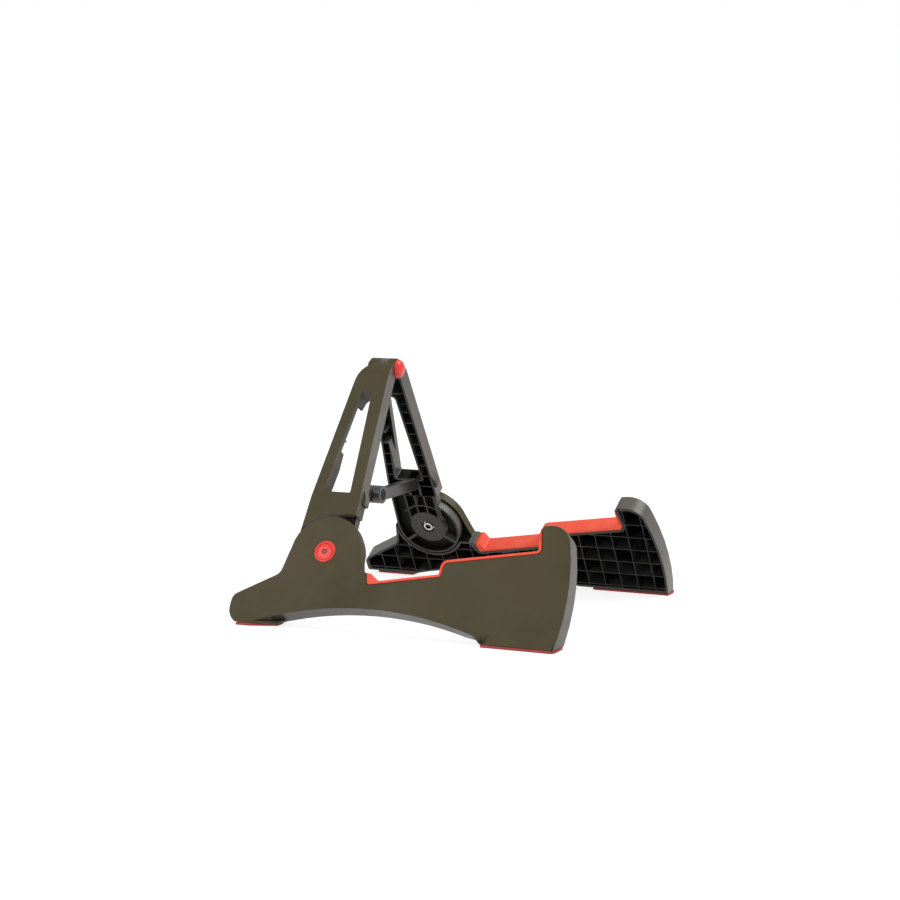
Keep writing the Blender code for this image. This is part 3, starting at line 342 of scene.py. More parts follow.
def make_finishes():
    """Every finish of the stand, with the dark, middle and light tone of each plastic and rubber."""
    face = ((0.059, 0.045, 0.017), (0.070, 0.055, 0.022), (0.082, 0.062, 0.027))
    # edge: the face's plastic made pale, painted light on walls and roundings
    edge = ((0.097, 0.088, 0.075), (0.115, 0.105, 0.090), (0.135, 0.123, 0.106))
    # inside: near black, painted shade in the cells, the gap by the hub, the sill and the bolt's bore
    inside = ((0.006, 0.006, 0.006), (0.008, 0.008, 0.008), (0.011, 0.011, 0.010))
    # rim: a darker grey, painted shade on inner tops, the boss, the disc's wall and the rear hinge cap
    rim = ((0.030, 0.027, 0.024), (0.038, 0.034, 0.030), (0.048, 0.043, 0.038))
    brace = ((0.046, 0.042, 0.037), (0.058, 0.053, 0.047), (0.076, 0.070, 0.062))
    stud = ((0.012, 0.011, 0.010), (0.017, 0.016, 0.014), (0.024, 0.022, 0.020))
    pad = ((0.95, 0.078, 0.032), (1.0, 0.098, 0.042), (1.0, 0.130, 0.062))
    sole = ((0.32, 0.030, 0.027), (0.40, 0.040, 0.036), (0.49, 0.060, 0.052))
    cap = ((0.80, 0.034, 0.026), (0.90, 0.046, 0.035), (0.96, 0.062, 0.046))
    fine, medium, deep = 0.00001, 0.00002, 0.00003
    return {
        "face": moulded_plastic("olive_brown_face", face, roughness=0.46, gloss=0.26, grain_depth=deep),
        "edge": moulded_plastic("grey_brown_painted_light", edge, roughness=0.40, gloss=0.40, grain_depth=deep),
        "inside": moulded_plastic("dark_painted_shade_inside", inside, roughness=0.55, gloss=0.12, grain_depth=deep),
        "rim": moulded_plastic("dark_grey_painted_shade", rim, roughness=0.38, gloss=0.35, grain_depth=medium),
        "brace": moulded_plastic("dark_brace_plastic", brace, roughness=0.30, gloss=0.5, grain_depth=medium),
        "stud": moulded_plastic("black_brace_stud", stud, roughness=0.40, gloss=0.12, grain_depth=medium),
        "pad": soft_rubber("orange_red_pad", pad, roughness=0.50),
        "sole": soft_rubber("red_sole_rubber", sole, roughness=0.56),
        "cap": moulded_plastic("red_cap_plastic", cap, roughness=0.22, gloss=0.5, grain_depth=fine),
        "steel": plated_steel("zinc_plated_steel"),
    }


# Shapes


def stand_point(side, u, v, w):
    """The place in the open stand, in metres, of a point drawn flat on one half.

    The half leans by the tilt t: sideways it is the spread, less v sin t, less w cos t, and its height is
    v cos t less w sin t. The right half is the mirror image.
    """
    across = side * (SPREAD - v * math.sin(TILT) - w * math.cos(TILT))
    height = v * math.cos(TILT) - w * math.sin(TILT)
    return np.stack(np.broadcast_arrays(u - MIDDLE_U, across, height), axis=-1) * MM


def flat_place(side, points):
    """The u, v and w, in mm, of points of the open stand: the inverse of stand_point."""
    across = SPREAD - side * points[:, 1] / MM
    height = points[:, 2] / MM
    v = across * math.sin(TILT) + height * math.cos(TILT)
    w = across * math.cos(TILT) - height * math.sin(TILT)
    return points[:, 0] / MM + MIDDLE_U, v, w


def flat_axes(side):
    """The directions of u, v and w in the open stand, as rows."""
    s, c = math.sin(TILT), math.cos(TILT)
    return np.array([[1.0, 0.0, 0.0], [0.0, -side * s, c], [0.0, -side * c, -s]])


def rounded_line(corners, fine):
    """A line through corners with their radii, as points and unit tangents.

    Each corner becomes an arc that touches both straight runs: its centre lies on the corner's middle
    line, at the radius over the sine of half the angle. fine is the number of steps for a quarter turn.
    """
    spots = np.array([corner[:2] for corner in corners], float)
    points, tangents = [spots[0]], []
    for i in range(1, len(corners) - 1):
        back = spots[i - 1] - spots[i]
        ahead = spots[i + 1] - spots[i]
        back /= np.linalg.norm(back)
        ahead /= np.linalg.norm(ahead)
        half = math.acos(float(np.clip(back @ ahead, -1.0, 1.0))) / 2
        radius = corners[i][2]
        middle = (back + ahead) / np.linalg.norm(back + ahead)
        centre = spots[i] + middle * radius / math.sin(half)
        first = spots[i] + back * radius / math.tan(half) - centre
        turn = math.pi - 2 * half
        turn *= -1.0 if back[0] * ahead[1] - back[1] * ahead[0] > 0 else 1.0
        count = max(3, round(abs(turn) / (math.pi / 2) * fine))
        angles = math.atan2(first[1], first[0]) + np.linspace(0.0, turn, count + 1)
        circle = np.stack([np.cos(angles), np.sin(angles)], axis=-1)
        points.extend(centre + radius * circle)
        tangents.extend(np.sign(turn) * np.stack([-circle[:, 1], circle[:, 0]], axis=-1))
    points.append(spots[-1])
    points = np.array(points)
    first = (points[1] - points[0]) / np.linalg.norm(points[1] - points[0])
    last = (points[-1] - points[-2]) / np.linalg.norm(points[-1] - points[-2])
    return points, np.array([first, *tangents, last])


def shade(mesh, sharp):
    """Smooth shading, with a sharp edge where two faces turn by more than an angle in degrees."""
    mesh.shade_smooth()
    mesh.set_sharp_from_angle(angle=math.radians(sharp))


def closed_mesh(name, points, faces, finish, sharp=40.0):
    """A mesh with its seams and poles welded and its faces turned outwards."""
    mesh = bpy.data.meshes.new(name)
    mesh.from_pydata(points.reshape(-1, 3).tolist(), [], faces)
    bm = bmesh.new()
    bm.from_mesh(mesh)
    bmesh.ops.remove_doubles(bm, verts=bm.verts, dist=1e-7)
    bmesh.ops.dissolve_degenerate(bm, edges=bm.edges, dist=1e-8)
    bmesh.ops.recalc_face_normals(bm, faces=bm.faces)
    bm.to_mesh(mesh)
    bm.free()
    shade(mesh, sharp)
    mesh.materials.append(finish)
    return new_object(name, mesh)


def tube_faces(rings, around, capped):
    """Quads between neighbouring rings of a closed section, with a flat cap on each end if asked."""
    row, column = np.meshgrid(np.arange(rings - 1), np.arange(around), indexing="ij")
    here = row * around + column
    next_one = row * around + (column + 1) % around
    quads = np.stack([here, next_one, next_one + around, here + around], axis=-1).reshape(-1, 4)
    faces = quads.tolist()
    if capped:
        faces.append(np.arange(around)[::-1].tolist())
        faces.append((np.arange(around) + (rings - 1) * around).tolist())
    return faces


def soft_bar(name, corners, rounding, finish):
    """A bar with rounded long edges and rounded ends.

    corners holds four corner points of the section for each station along the bar. A section is a
    rectangle of half sizes a and b whose corners are arcs of the rounding: its point at angle p is the
    corner's arc centre plus the radius times (cos p, sin p), laid between the four corner points in
    proportion. Over the last bit of each end the radius shrinks as the cosine of an angle while the
    station moves on as its sine, so the end is rounded like the edges.
    """
    turn = np.linspace(0.0, math.pi / 2, 5)
    start, end = corners[0], corners[-1]
    start_way = corners[1] - corners[0]
    end_way = corners[-2] - corners[-1]
    step = rounding * MM
    start_way = start_way / np.linalg.norm(start_way, axis=-1, keepdims=True)
    end_way = end_way / np.linalg.norm(end_way, axis=-1, keepdims=True)
    inset = (1.0 - np.sin(turn[::-1]))[:, None, None] * step
    first = start[None] + start_way[None] * inset
    last = end[None] + end_way[None] * inset[::-1]
    stations = np.concatenate([first, corners[1:-1], last])
    shrink = np.concatenate([np.cos(turn[::-1]), np.ones(len(corners) - 2), np.cos(turn)])[:, None] * step
    half_a = np.linalg.norm(stations[:, 1] - stations[:, 0], axis=-1)[:, None] / 2
    half_b = np.linalg.norm(stations[:, 3] - stations[:, 0], axis=-1)[:, None] / 2
    angles = np.concatenate([turn + math.pi / 2 * i for i in range(4)])
    sign_a = np.repeat([1.0, -1.0, -1.0, 1.0], len(turn))
    sign_b = np.repeat([1.0, 1.0, -1.0, -1.0], len(turn))
    a = (sign_a * (half_a - step) + shrink * np.cos(angles)) / half_a
    b = (sign_b * (half_b - step) + shrink * np.sin(angles)) / half_b
    weights = [(1 - a) * (1 - b), (1 + a) * (1 - b), (1 + a) * (1 + b), (1 - a) * (1 + b)]
    points = np.einsum("snk,skc->snc", np.stack(weights, axis=-1) / 4, stations)
    return closed_mesh(name, points, tube_faces(len(stations), len(angles), True), finish)


def turned_piece(name, side, profile, finish, along="w", hexagonal=(), thread=None, sharp=35.0):
    """A profile of (radius, height) turned about the foot's pivot, or about the hinge along u.

    A point at angle p lies at the radius times (cos p, sin p) from the axis. Profile points named in
    hexagonal have their radius multiplied by cos 30 over the cosine of the angle from the nearest flat.
    A thread cuts a groove of its depth that climbs by one pitch in each turn, between two heights.
    """
    profile = np.array(profile, float)
    angles = np.linspace(0.0, 2 * math.pi, ROUND_STEPS, endpoint=False)
    cos, sin = np.cos(angles), np.sin(angles)
    radius = np.repeat(profile[:, :1], ROUND_STEPS, axis=1)
    height = np.repeat(profile[:, 1:], ROUND_STEPS, axis=1)
    flats = math.cos(math.pi / 6) / np.cos(np.mod(angles, math.pi / 3) - math.pi / 6)
    chosen = np.isin(np.arange(len(profile)), hexagonal)
    radius = np.where(chosen[:, None], radius * flats, radius)
    if thread is not None:
        depth, pitch, low, high = thread
        climb = np.mod(height / pitch - angles / (2 * math.pi), 1.0)
        groove = np.abs(climb - 0.5) * 2.0
        threaded = (height > low) & (height < high) & (radius > AXIS_CLEAR)
        radius = radius - np.where(threaded, depth * groove, 0.0)
    if along == "w":
        points = stand_point(side, PIVOT_U + radius * cos, PIVOT_V + radius * sin, height)
    else:
        points = stand_point(side, height, HINGE_V + radius * cos, HINGE_W + radius * sin)
    open_ring = profile[0, 0] > 0 and not np.allclose(profile[0], profile[-1])
    return closed_mesh(name, points, tube_faces(len(profile), ROUND_STEPS, open_ring), finish, sharp)


# Mouldings


def mesh_values(items, name, width, kind):
    """One property of every item of a mesh, as an array."""
    values = np.empty(len(items) * width, kind)
    items.foreach_get(name, values)
    return values.reshape(-1, width) if width > 1 else values


def flat_values(side, items, name):
    """The u, v and w of a mesh's vertices or face centres."""
    return flat_place(side, mesh_values(items, name, 3, np.float32).astype(float))


def move_vertices(mesh, side, u, v, w):
    mesh.vertices.foreach_set("co", stand_point(side, u, v, w).astype(np.float32).ravel())


def share_of_way(value, start, end):
    """0 up to the start, 1 past the end, and the share of the way in between."""
    return np.clip((value - start) / (end - start), 0.0, 1.0)


def within(value, limits):
    return (value > limits[0]) & (value < limits[1])


def even_shading(piece):
    weighted = piece.modifiers.new("even_shading", "WEIGHTED_NORMAL")
    weighted.keep_sharp = True


def welded_copy(node):
    """A copy of a node's mesh with its loose triangles joined and flat neighbours made one face."""
    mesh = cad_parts[node].data.copy()
    bm = bmesh.new()
    bm.from_mesh(mesh)
    bmesh.ops.remove_doubles(bm, verts=bm.verts, dist=1e-6)
    bmesh.ops.dissolve_limit(bm, angle_limit=math.radians(0.2), verts=bm.verts, edges=bm.edges)
    bm.to_mesh(mesh)
    bm.free()
    mesh.name = f"{node}_finished"
    mesh.materials.clear()
    return mesh


def finish_hub(choice, place, outer_wall):
    """The hub's round wall and the shoulder in front of it keep the outer face's finish, without painted
    light.
    """
    u, v, _ = place
    from_pivot = np.hypot(u - PIVOT_U, v - PIVOT_V)
    round_wall = (np.abs(from_pivot - HUB_RADIUS) < 1.5) & (v > HUB_WALL_V)
    shoulder = (from_pivot < SHOULDER_REACH) & (u > PIVOT_U + SHOULDER_U) & (v > SHOULDER_V)
    choice[outer_wall & (round_wall | shoulder)] = FACE


def finish_upright(choice, place, facing):
    """What the upright has besides cells, rims and walls.

    The disc's boss and wall are painted grey, the side against the hub and the window's sill dark, both
    as shade, and the front rail, the crown's walls and the cut for the folded brace pale, as painted light.
    """
    u, v, w = place
    facing_u, facing_v, facing_w = facing
    wall = np.abs(facing_w) < SQUARE
    from_pivot = np.hypot(u - PIVOT_U, v - PIVOT_V)
    # the boss's top and the disc's wall: painted grey, as shade
    choice[(facing_w > SQUARE) & (from_pivot < BOSS_RADIUS) & (w > BOSS_TOP_W)] = PAINTED_GREY_SHADE
    choice[wall & (np.abs(from_pivot - DISC_RADIUS) < 1.0)] = PAINTED_GREY_SHADE
    # the side against the hub: painted dark, as shade
    choice[(facing_w < -SQUARE) & (w > AGAINST_HUB_W) & (v < AGAINST_HUB_V)] = PAINTED_SHADE
    # front rail, crown walls and the cut for the brace: painted pale, as light
    choice[wall & (facing_u > LEANING) & (u > FRONT_RAIL_U)] = PAINTED_LIGHT
    choice[wall & (v > CROWN_WALL_V)] = PAINTED_LIGHT
    stow_cut = within(u, STOW_CUT_U) & within(v, STOW_CUT_V)
    choice[stow_cut & wall & (facing_u > -LEANING)] = PAINTED_LIGHT
    # the window's sill: painted dark, as shade
    choice[(facing_v > SQUARE) & (np.abs(v - SILL_V) < 0.6)] = PAINTED_SHADE


def choose_finishes(mesh, side, face_w, is_upright):
    """Gives each face its finish, and returns which vertices lie on an outer wall.

    A wall belongs to the cells, painted dark as shade, if it starts at the cells' floor or deeper, unless
    it faces the ground low down, where it is painted pale as the floor's light. Other outer walls are
    painted pale as light, and below the crown so is the rounding round the outer face, as a painted
    highlight. Tops near the inner side are painted grey as shade.
    """
    depth = flat_values(side, mesh.vertices, "co")[2]
    corners = mesh_values(mesh.loops, "vertex_index", 1, np.int32)
    starts = mesh_values(mesh.polygons, "loop_start", 1, np.int32)
    lowest = np.minimum.reduceat(depth[corners], starts)
    place = flat_values(side, mesh.polygons, "center")
    facing = (mesh_values(mesh.polygons, "normal", 3, np.float32) @ flat_axes(side).T).T
    _, v, w = place
    _, facing_v, facing_w = facing
    wall = np.abs(facing_w) < SQUARE
    outer_wall = wall & (lowest < face_w + FACE_WALL - 0.4)
    # cells start dark: painted shade
    choice = np.full(len(starts), PAINTED_SHADE, np.int32)
    choice[outer_wall] = PAINTED_LIGHT
    # tops near the inner side: painted grey, as shade
    choice[(lowest > DEPTH - RIM_DEPTH) & (facing_w > SQUARE)] = PAINTED_GREY_SHADE
    choice[facing_w < -LEANING] = FACE
    # the rounding below the crown: a painted highlight
    rounding = (w < face_w + SOFT_EDGE) & (facing_w > -0.8) & (facing_w < -LEANING)
    choice[rounding & (v < CROWN_FACE_V)] = PAINTED_LIGHT
    # walls low down that face the ground: painted pale, as the floor's light
    z = v * math.cos(TILT) - w * math.sin(TILT)
    facing_z = facing_v * math.cos(TILT) - facing_w * math.sin(TILT)
    choice[wall & (z < GROUND_Z) & (facing_z < -LEANING)] = PAINTED_LIGHT
    if is_upright:
        finish_upright(choice, place, facing)
    else:
        finish_hub(choice, place, outer_wall)
    mesh.polygons.foreach_set("material_index", choice)
    on_wall = np.zeros(len(depth), bool)
    corner_counts = np.diff(np.append(starts, len(corners)))
    on_wall[corners[np.repeat(outer_wall, corner_counts)]] = True
    return on_wall


def draft_ribs(u, v, w, on_wall, is_upright):
    """Thins each rib towards its top, as the mould's draft does.

    A point on a rib's top edge moves towards the rib's middle line, to a share of its distance from it.
    """
    top = (w > DEPTH - 0.1) & ~on_wall
    if is_upright:
        top &= v > LOWEST_ROW_V
        rows = [(v, ROW_PITCH, ROW_START_V)]
    else:
        rows = zip((u, v), CELL_PITCH, CELL_START)
    for value, pitch, start in rows:
        off = np.mod(value - start + RIB / 2 + pitch / 2, pitch) - pitch / 2
        near = top & (np.abs(off) < RIB / 2 + 0.03)
        value[near] -= off[near] * (1.0 - RIB_TOP_SHARE)


def open_hub_gap(u, v, w):
    """Eases the lower edge of the upright's plate away from the hub, which shows as a dark gap."""
    off_u, off_v = u - PIVOT_U, v - PIVOT_V
    distance = np.hypot(off_u, off_v)
    on_edge = np.abs(distance - HUB_RADIUS - FRAME_GAP) < 0.1
    edge = on_edge & (w < HUB_DEPTH + 0.5) & (v > GAP_FOOT_V)
    u[edge] += off_u[edge] / distance[edge] * (SHOWN_GAP - FRAME_GAP)
    v[edge] += off_v[edge] / distance[edge] * (SHOWN_GAP - FRAME_GAP)


def lower_window_top(u, v, w):
    """Brings the window's rounded top down, most of all at its rear on the inner side.

    The shift fades as a half cosine over 5.5 mm below the top's corners and 9 mm above the top. The extra
    at the rear ends before the rear rail, whose cut stays where it is.
    """
    below, above, middle_v = (206.0, 200.5), (217.0, 226.0), 211.0
    rearwards, off_rail = (80.0, 66.0), (62.0, 65.0)
    away = np.where(v < middle_v, share_of_way(v, *below), share_of_way(v, *above))
    fade = 0.5 + 0.5 * np.cos(np.pi * away)
    at_rear = share_of_way(u, *rearwards) * share_of_way(u, *off_rail)
    inside = share_of_way(w, DEPTH / 2, DEPTH)
    v -= fade * (WINDOW_DROP + WINDOW_REAR_DROP * at_rear * inside)


def distance_at(line, middle, angles):
    """How far a line lies from the middle, at each angle."""
    share = np.linspace(0.0, len(line) - 1.0, 40 * len(line))
    off = [np.interp(share, np.arange(len(line)), line[:, i]) - middle[i] for i in range(2)]
    turn = np.arctan2(off[1], off[0])
    order = np.argsort(turn)
    return np.interp(angles, turn[order], np.hypot(*off)[order])


def round_lip(u, v):
    """Swells the lip's straight bevel into a round crown.

    Each point moves along its ray from the lip's middle. Its distance is multiplied by that of the
    round outline over that of the frame's outline at the same angle, so walls and ribs follow. The rear
    corner comes back over the pad's end.
    """
    angles = np.radians(np.linspace(*CROWN_ANGLES, 60))
    ratio = distance_at(rounded_line(ROUND_LIP, 12)[0], LIP_MIDDLE, angles)
    ratio /= distance_at(rounded_line(FRAME_LIP, 12)[0], LIP_MIDDLE, angles)
    still = np.radians(STILL_ANGLES)
    angles = np.concatenate([still[:1], angles, still[1:]])
    ratio = np.concatenate([[1.0], ratio, [1.0]])
    upwards, rearwards = (96.0, 101.3), (258.5, 256.0)
    rear_corner = share_of_way(v, *upwards) * share_of_way(u, *rearwards)
    off_u, off_v = u - LIP_MIDDLE[0], v - LIP_MIDDLE[1]
    turn = np.arctan2(off_v, off_u)
    swell = np.interp(turn, angles, ratio, left=1.0, right=1.0)
    new_u, new_v = LIP_MIDDLE[0] + off_u * swell, LIP_MIDDLE[1] + off_v * swell
    return new_u + LIP_CORNER_SHIFT[0] * rear_corner, new_v + LIP_CORNER_SHIFT[1] * rear_corner


def cut_lip_rays(mesh, side):
    """Cuts the lip's faces along rays from its middle, so that its crown can bend."""
    u, v, _ = flat_values(side, mesh.vertices, "co")
    corners = mesh_values(mesh.loops, "vertex_index", 1, np.int32)
    starts = mesh_values(mesh.polygons, "loop_start", 1, np.int32)
    in_lip = ((u > LIP_REAR_U) & (v > LIP_BEND_V))[corners]
    chosen = np.flatnonzero(np.logical_or.reduceat(in_lip, starts))
    bm = bmesh.new()
    bm.from_mesh(mesh)
    bm.faces.ensure_lookup_table()
    faces = bmesh.ops.triangulate(bm, faces=[bm.faces[i] for i in chosen])["faces"]
    edges = {edge for face in faces for edge in face.edges}
    corners = {corner for face in faces for corner in face.verts}
    shape = [*corners, *edges, *faces]
    middle = stand_point(side, *LIP_MIDDLE, DEPTH / 2)
    rays = np.arange(-2.0, 112.0, 7.0)
    for angle in np.radians(rays):
        across = np.array([-math.sin(angle), math.cos(angle), 0.0]) @ flat_axes(side)
        cut = bmesh.ops.bisect_plane(bm, geom=shape, dist=1e-7, plane_co=middle, plane_no=across)
        shape = cut["geom"]
    bm.to_mesh(mesh)
    bm.free()


def moulding(node, side, face_w, finishes):
    """A moulding in the frame's own shape, with joined faces, drafted ribs and a rounded lip."""
    is_upright = node.endswith("upright")
    mesh = welded_copy(node)
    for finish in SHELL_FINISHES:
        mesh.materials.append(finishes[finish])
    on_wall = choose_finishes(mesh, side, face_w, is_upright)
    u, v, w = flat_values(side, mesh.vertices, "co")
    draft_ribs(u, v, w, on_wall, is_upright)
    if is_upright:
        open_hub_gap(u, v, w)
        lower_window_top(u, v, w)
    move_vertices(mesh, side, u, v, w)
    if not is_upright:
        cut_lip_rays(mesh, side)
        u, v, w = flat_values(side, mesh.vertices, "co")
        crown = (u > LIP_REAR_U) & (v > LIP_FOOT_V)
        u[crown], v[crown] = round_lip(u[crown], v[crown])
        move_vertices(mesh, side, u, v, w)
    mesh.update()
    shade(mesh, 38.0)
    shell = new_object(f"{node}_shell", mesh)
    even_shading(shell)
    return shell


def brace_link(node, finishes):
    """A brace bar in the frame's own shape, with its edges broken as a moulding's are."""
    mesh = welded_copy(node)
    mesh.materials.append(finishes["brace"])
    sharp = 50.0
    shade(mesh, sharp)
    bar = new_object(f"{node}_bar", mesh)
    bevel = bar.modifiers.new("broken_edges", "BEVEL")
    bevel.width = 0.35 * MM
    bevel.segments = 2
    bevel.limit_method = "ANGLE"
    bevel.angle_limit = math.radians(sharp)
    even_shading(bar)
    return bar


# Rubber


def beside(start, end, share, off):
    """A point at a share of the way from start to end, and off to the right of that line."""
    a, b = np.array(start, float), np.array(end, float)
    way = (b - a) / np.linalg.norm(b - a)
    return a + (b - a) * share + np.array([way[1], -way[0]]) * off


def crossing(a, b, c, d):
    """Where the line through a and b meets the line through c and d."""
    sides = np.stack([b - a, c - d], axis=-1)
    return a + (b - a) * np.linalg.solve(sides, c - a)[0]


def corner_off(before, here, after, off):
    """The corner of two runs that both lie off to the right."""
    first = (beside(before, here, 0.0, off), beside(before, here, 1.0, off))
    second = (beside(here, after, 0.0, off), beside(here, after, 1.0, off))
    return crossing(*first, *second)


def pad_outline():
    """The pad's edge in u and v: thin up the lip, even along the cradle and the step, and a block behind.

    Each corner carries the radius of its rounding.
    """
    top = FIT + PAD_THICKNESS
    run = [LIP_TOP, LIP_ROOT, STEP_HIGH, STEP_LOW, CRADLE_REAR, LEDGE_TOP]
    under = [corner_off(*run[i - 1 : i + 2], FIT) for i in range(1, 5)]
    over = [corner_off(*run[i - 1 : i + 2], top) for i in range(1, 4)]
    cradle = (beside(STEP_LOW, CRADLE_REAR, 0.0, top), beside(STEP_LOW, CRADLE_REAR, 1.0, top))
    heel_foot = crossing(*cradle, np.array([HEEL_FOOT_U, 0.0]), np.array([HEEL_FOOT_U, 100.0]))
    heel_top = beside(CRADLE_REAR, LEDGE_TOP, 0.94, FIT)
    return [
        (*beside(LIP_TOP, LIP_ROOT, 0.10, 0.15), 0.3),
        (*under[0], 4.2),
        (*under[1], 4.3),
        (*under[2], 2.5),
        (*under[3], 2.5),
        (*heel_top, 0.6),
        (*HEEL_FRONT, 1.1),
        (*heel_foot, 2.2),
        (*over[2], 0.8),
        (*over[1], 6.2),
        (*over[0], 2.2),
        (*beside(LIP_TOP, LIP_ROOT, 0.5, top), 8.0),
        (*beside(LIP_TOP, LIP_ROOT, 0.13, 1.0), 0.4),
    ]


def closed_line(corners, fine):
    """A closed line through rounded corners, as points and the unit normals to its right."""
    line, tangents = rounded_line([corners[-1], *corners, corners[0]], fine)
    line, tangents = line[1:-1], tangents[1:-1]
    return line, np.stack([tangents[:, 1], -tangents[:, 0]], axis=-1)


def soft_plate(name, side, outline, low, high, rounding, finish):
    """A flat piece with an outline in u and v and softly rounded rims.

    Ring j of the rounding lies at the angle a from the side to the face: the outline moves inwards by
    the radius times (1 less cos a), and its depth outwards by the radius times (1 less sin a).
    """
    line, outwards = closed_line(outline, 10)
    area = np.sum(line[:, 0] * np.roll(line[:, 1], -1) - line[:, 1] * np.roll(line[:, 0], -1)) / 2
    inwards = -outwards if area > 0 else outwards
    turn = np.linspace(0.0, math.pi / 2, 5)
    inset = np.concatenate([1.0 - np.cos(turn[::-1]), 1.0 - np.cos(turn)]) * rounding
    rise = (1.0 - np.sin(turn)) * rounding
    depth = np.concatenate([low + rise[::-1], high - rise])
    rings = line[None] + inwards[None] * inset[:, None, None]
    points = stand_point(side, rings[..., 0], rings[..., 1], depth[:, None])
    return closed_mesh(name, points, tube_faces(len(depth), len(line), True), finish, 50.0)


def cradle_pad(name, side, finish):
    """The cradle's pad, over the moulding's full depth."""
    return soft_plate(name, side, pad_outline(), 0.0, DEPTH, PAD_ROUNDING, finish)


def sole_strip(name, side, lower_edge, lead, finish):
    """A rubber strip under a foot, level from the floor up to its thickness.

    Its inner side follows the moulding's inner face, and its outer side the outer face or, where the
    moulding's lower edge climbs, that edge. At the rear the inner side starts earlier by the lead, as
    the arch does. At a height z and a depth w a corner's v is (z + w sin t) over cos t.
    """
    edge_u, edge_v = np.array(lower_edge).T
    stations = np.unique(np.concatenate([edge_u, np.linspace(edge_u[0], edge_u[-1], 9)]))
    edge = np.interp(stations, edge_u, edge_v)
    earlier = lead * (stations[-1] - stations) / (stations[-1] - stations[0])

    def corner(height, outer):
        from_edge = (edge * math.cos(TILT) - height) / math.sin(TILT)
        w = np.clip(from_edge, 0.0, DEPTH - SOLE_LEDGE) if outer else np.full_like(stations, DEPTH)
        v = (height + w * math.sin(TILT)) / math.cos(TILT)
        return stand_point(side, stations if outer else stations - earlier, v, w)

    below = [corner(0.0, True), corner(0.0, False)]
    above = [corner(SOLE_THICKNESS, False), corner(SOLE_THICKNESS, True)]
    return soft_bar(name, np.stack(below + above, axis=1), SOLE_ROUNDING, finish)


# Caps and hardware


def shade_bore(piece, side, radius, low, high, finish):
    """Gives the faces within a radius of the pivot, between two depths, a second, darker finish: painted
    shade.
    """
    mesh = piece.data
    mesh.materials.append(finish)
    u, v, w = flat_values(side, mesh.polygons, "center")
    in_bore = (np.hypot(u - PIVOT_U, v - PIVOT_V) < radius) & within(w, (low, high))
    mesh.polygons.foreach_set("material_index", in_bore.astype(np.int32))


def pivot_cap(name, side, finish):
    """The round cap in the hub: a low dome, a bead round its rim, and a bore down to the bolt's socket."""
    bore, plug, rim, seat = 2.0, 8.3, 9.1, 0.7
    proud, groove, bead = -1.1, -0.1, 0.95
    dome_start, dome_width = bore + 0.5, 4.3
    dome = [(dome_start + dome_width * t, proud + 0.55 * t * t) for t in np.linspace(0.0, 1.0, 9)]
    turn = np.linspace(math.pi, 0.0, 9)
    ring = [(rim - bead + bead * math.cos(a), groove - 1.0 * math.sin(a)) for a in turn]
    profile = [(bore, seat), (bore, proud + 0.45), (bore + 0.15, proud + 0.15)]
    profile += dome + [(rim - 2.0, groove)] + ring
    profile += [(plug, groove + 0.05), (plug, seat), (bore, seat)]
    return turned_piece(name, side, profile, finish, sharp=50.0)


def pivot_bolt(name, side, finish, painted_bore_shade):
    """The shoulder bolt: a flat head with a hexagon socket, the shoulder, and a threaded hollow end."""
    head_low, head_high, neck, tip = 1.3, 4.1, 11.55, 15.8
    socket, head, shoulder, thread, bore = 2.9, 6.6, 4.0, 3.0, 2.3
    floor, hollow = head_high - 0.8, tip - 3.0
    profile = [(0.0, floor), (socket - 0.15, floor), (socket, floor - 0.15), (socket, head_low + 0.25)]
    profile += [(socket + 0.4, head_low), (head - 0.5, head_low), (head - 0.1, head_low + 0.2)]
    profile += [(head, head_low + 0.5), (head, head_high)]
    profile += [(shoulder, head_high), (shoulder, neck), (thread, neck)]
    profile += [(thread, height) for height in np.linspace(neck + 0.1, tip - 0.5, 40)]
    profile += [(thread - 0.05, tip - 0.15), (thread - 0.2, tip), (bore + 0.2, tip)]
    profile += [(bore + 0.05, tip - 0.2), (bore, hollow), (0.0, hollow)]
    groove = (0.25, 0.7, neck + 0.2, tip - 0.5)
    bolt = turned_piece(name, side, profile, finish, hexagonal=(1, 2, 3), thread=groove)
    # the bore down the bolt's end is painted dark, as shade
    shade_bore(bolt, side, bore + 0.1, neck, tip - 0.2, painted_bore_shade)
    return bolt


def pivot_nut(name, side, finish):
    """The round nut in the disc's bore: a narrow flange below, and a bright collar with soft rims."""
    low, high, hole, flange, collar = 12.4, 15.6, 3.1, 5.2, 4.1
    profile = [
        (hole, low),
        (flange - 0.2, low),
        (flange, low + 0.2),
        (flange, low + 0.6),
        (flange - 0.2, low + 0.8),
        (collar + 0.1, low + 0.85),
        (collar, low + 1.0),
        (collar, high - 0.35),
        (collar - 0.12, high - 0.1),
        (collar - 0.35, high),
        (hole + 0.15, high),
        (hole, high - 0.15),
        (hole, low),
    ]
    return turned_piece(name, side, profile, finish)


def pivot_washer(name, side, finish):
    low, high, hole, rim = 8.3, 9.0, 4.3, 9.6
    profile = [(hole, low + 0.1), (hole + 0.1, low), (rim - 0.15, low), (rim, low + 0.15), (rim, high - 0.15)]
    profile += [(rim - 0.15, high), (hole + 0.1, high), (hole, high - 0.1), (hole, low + 0.1)]
    return turned_piece(name, side, profile, finish)


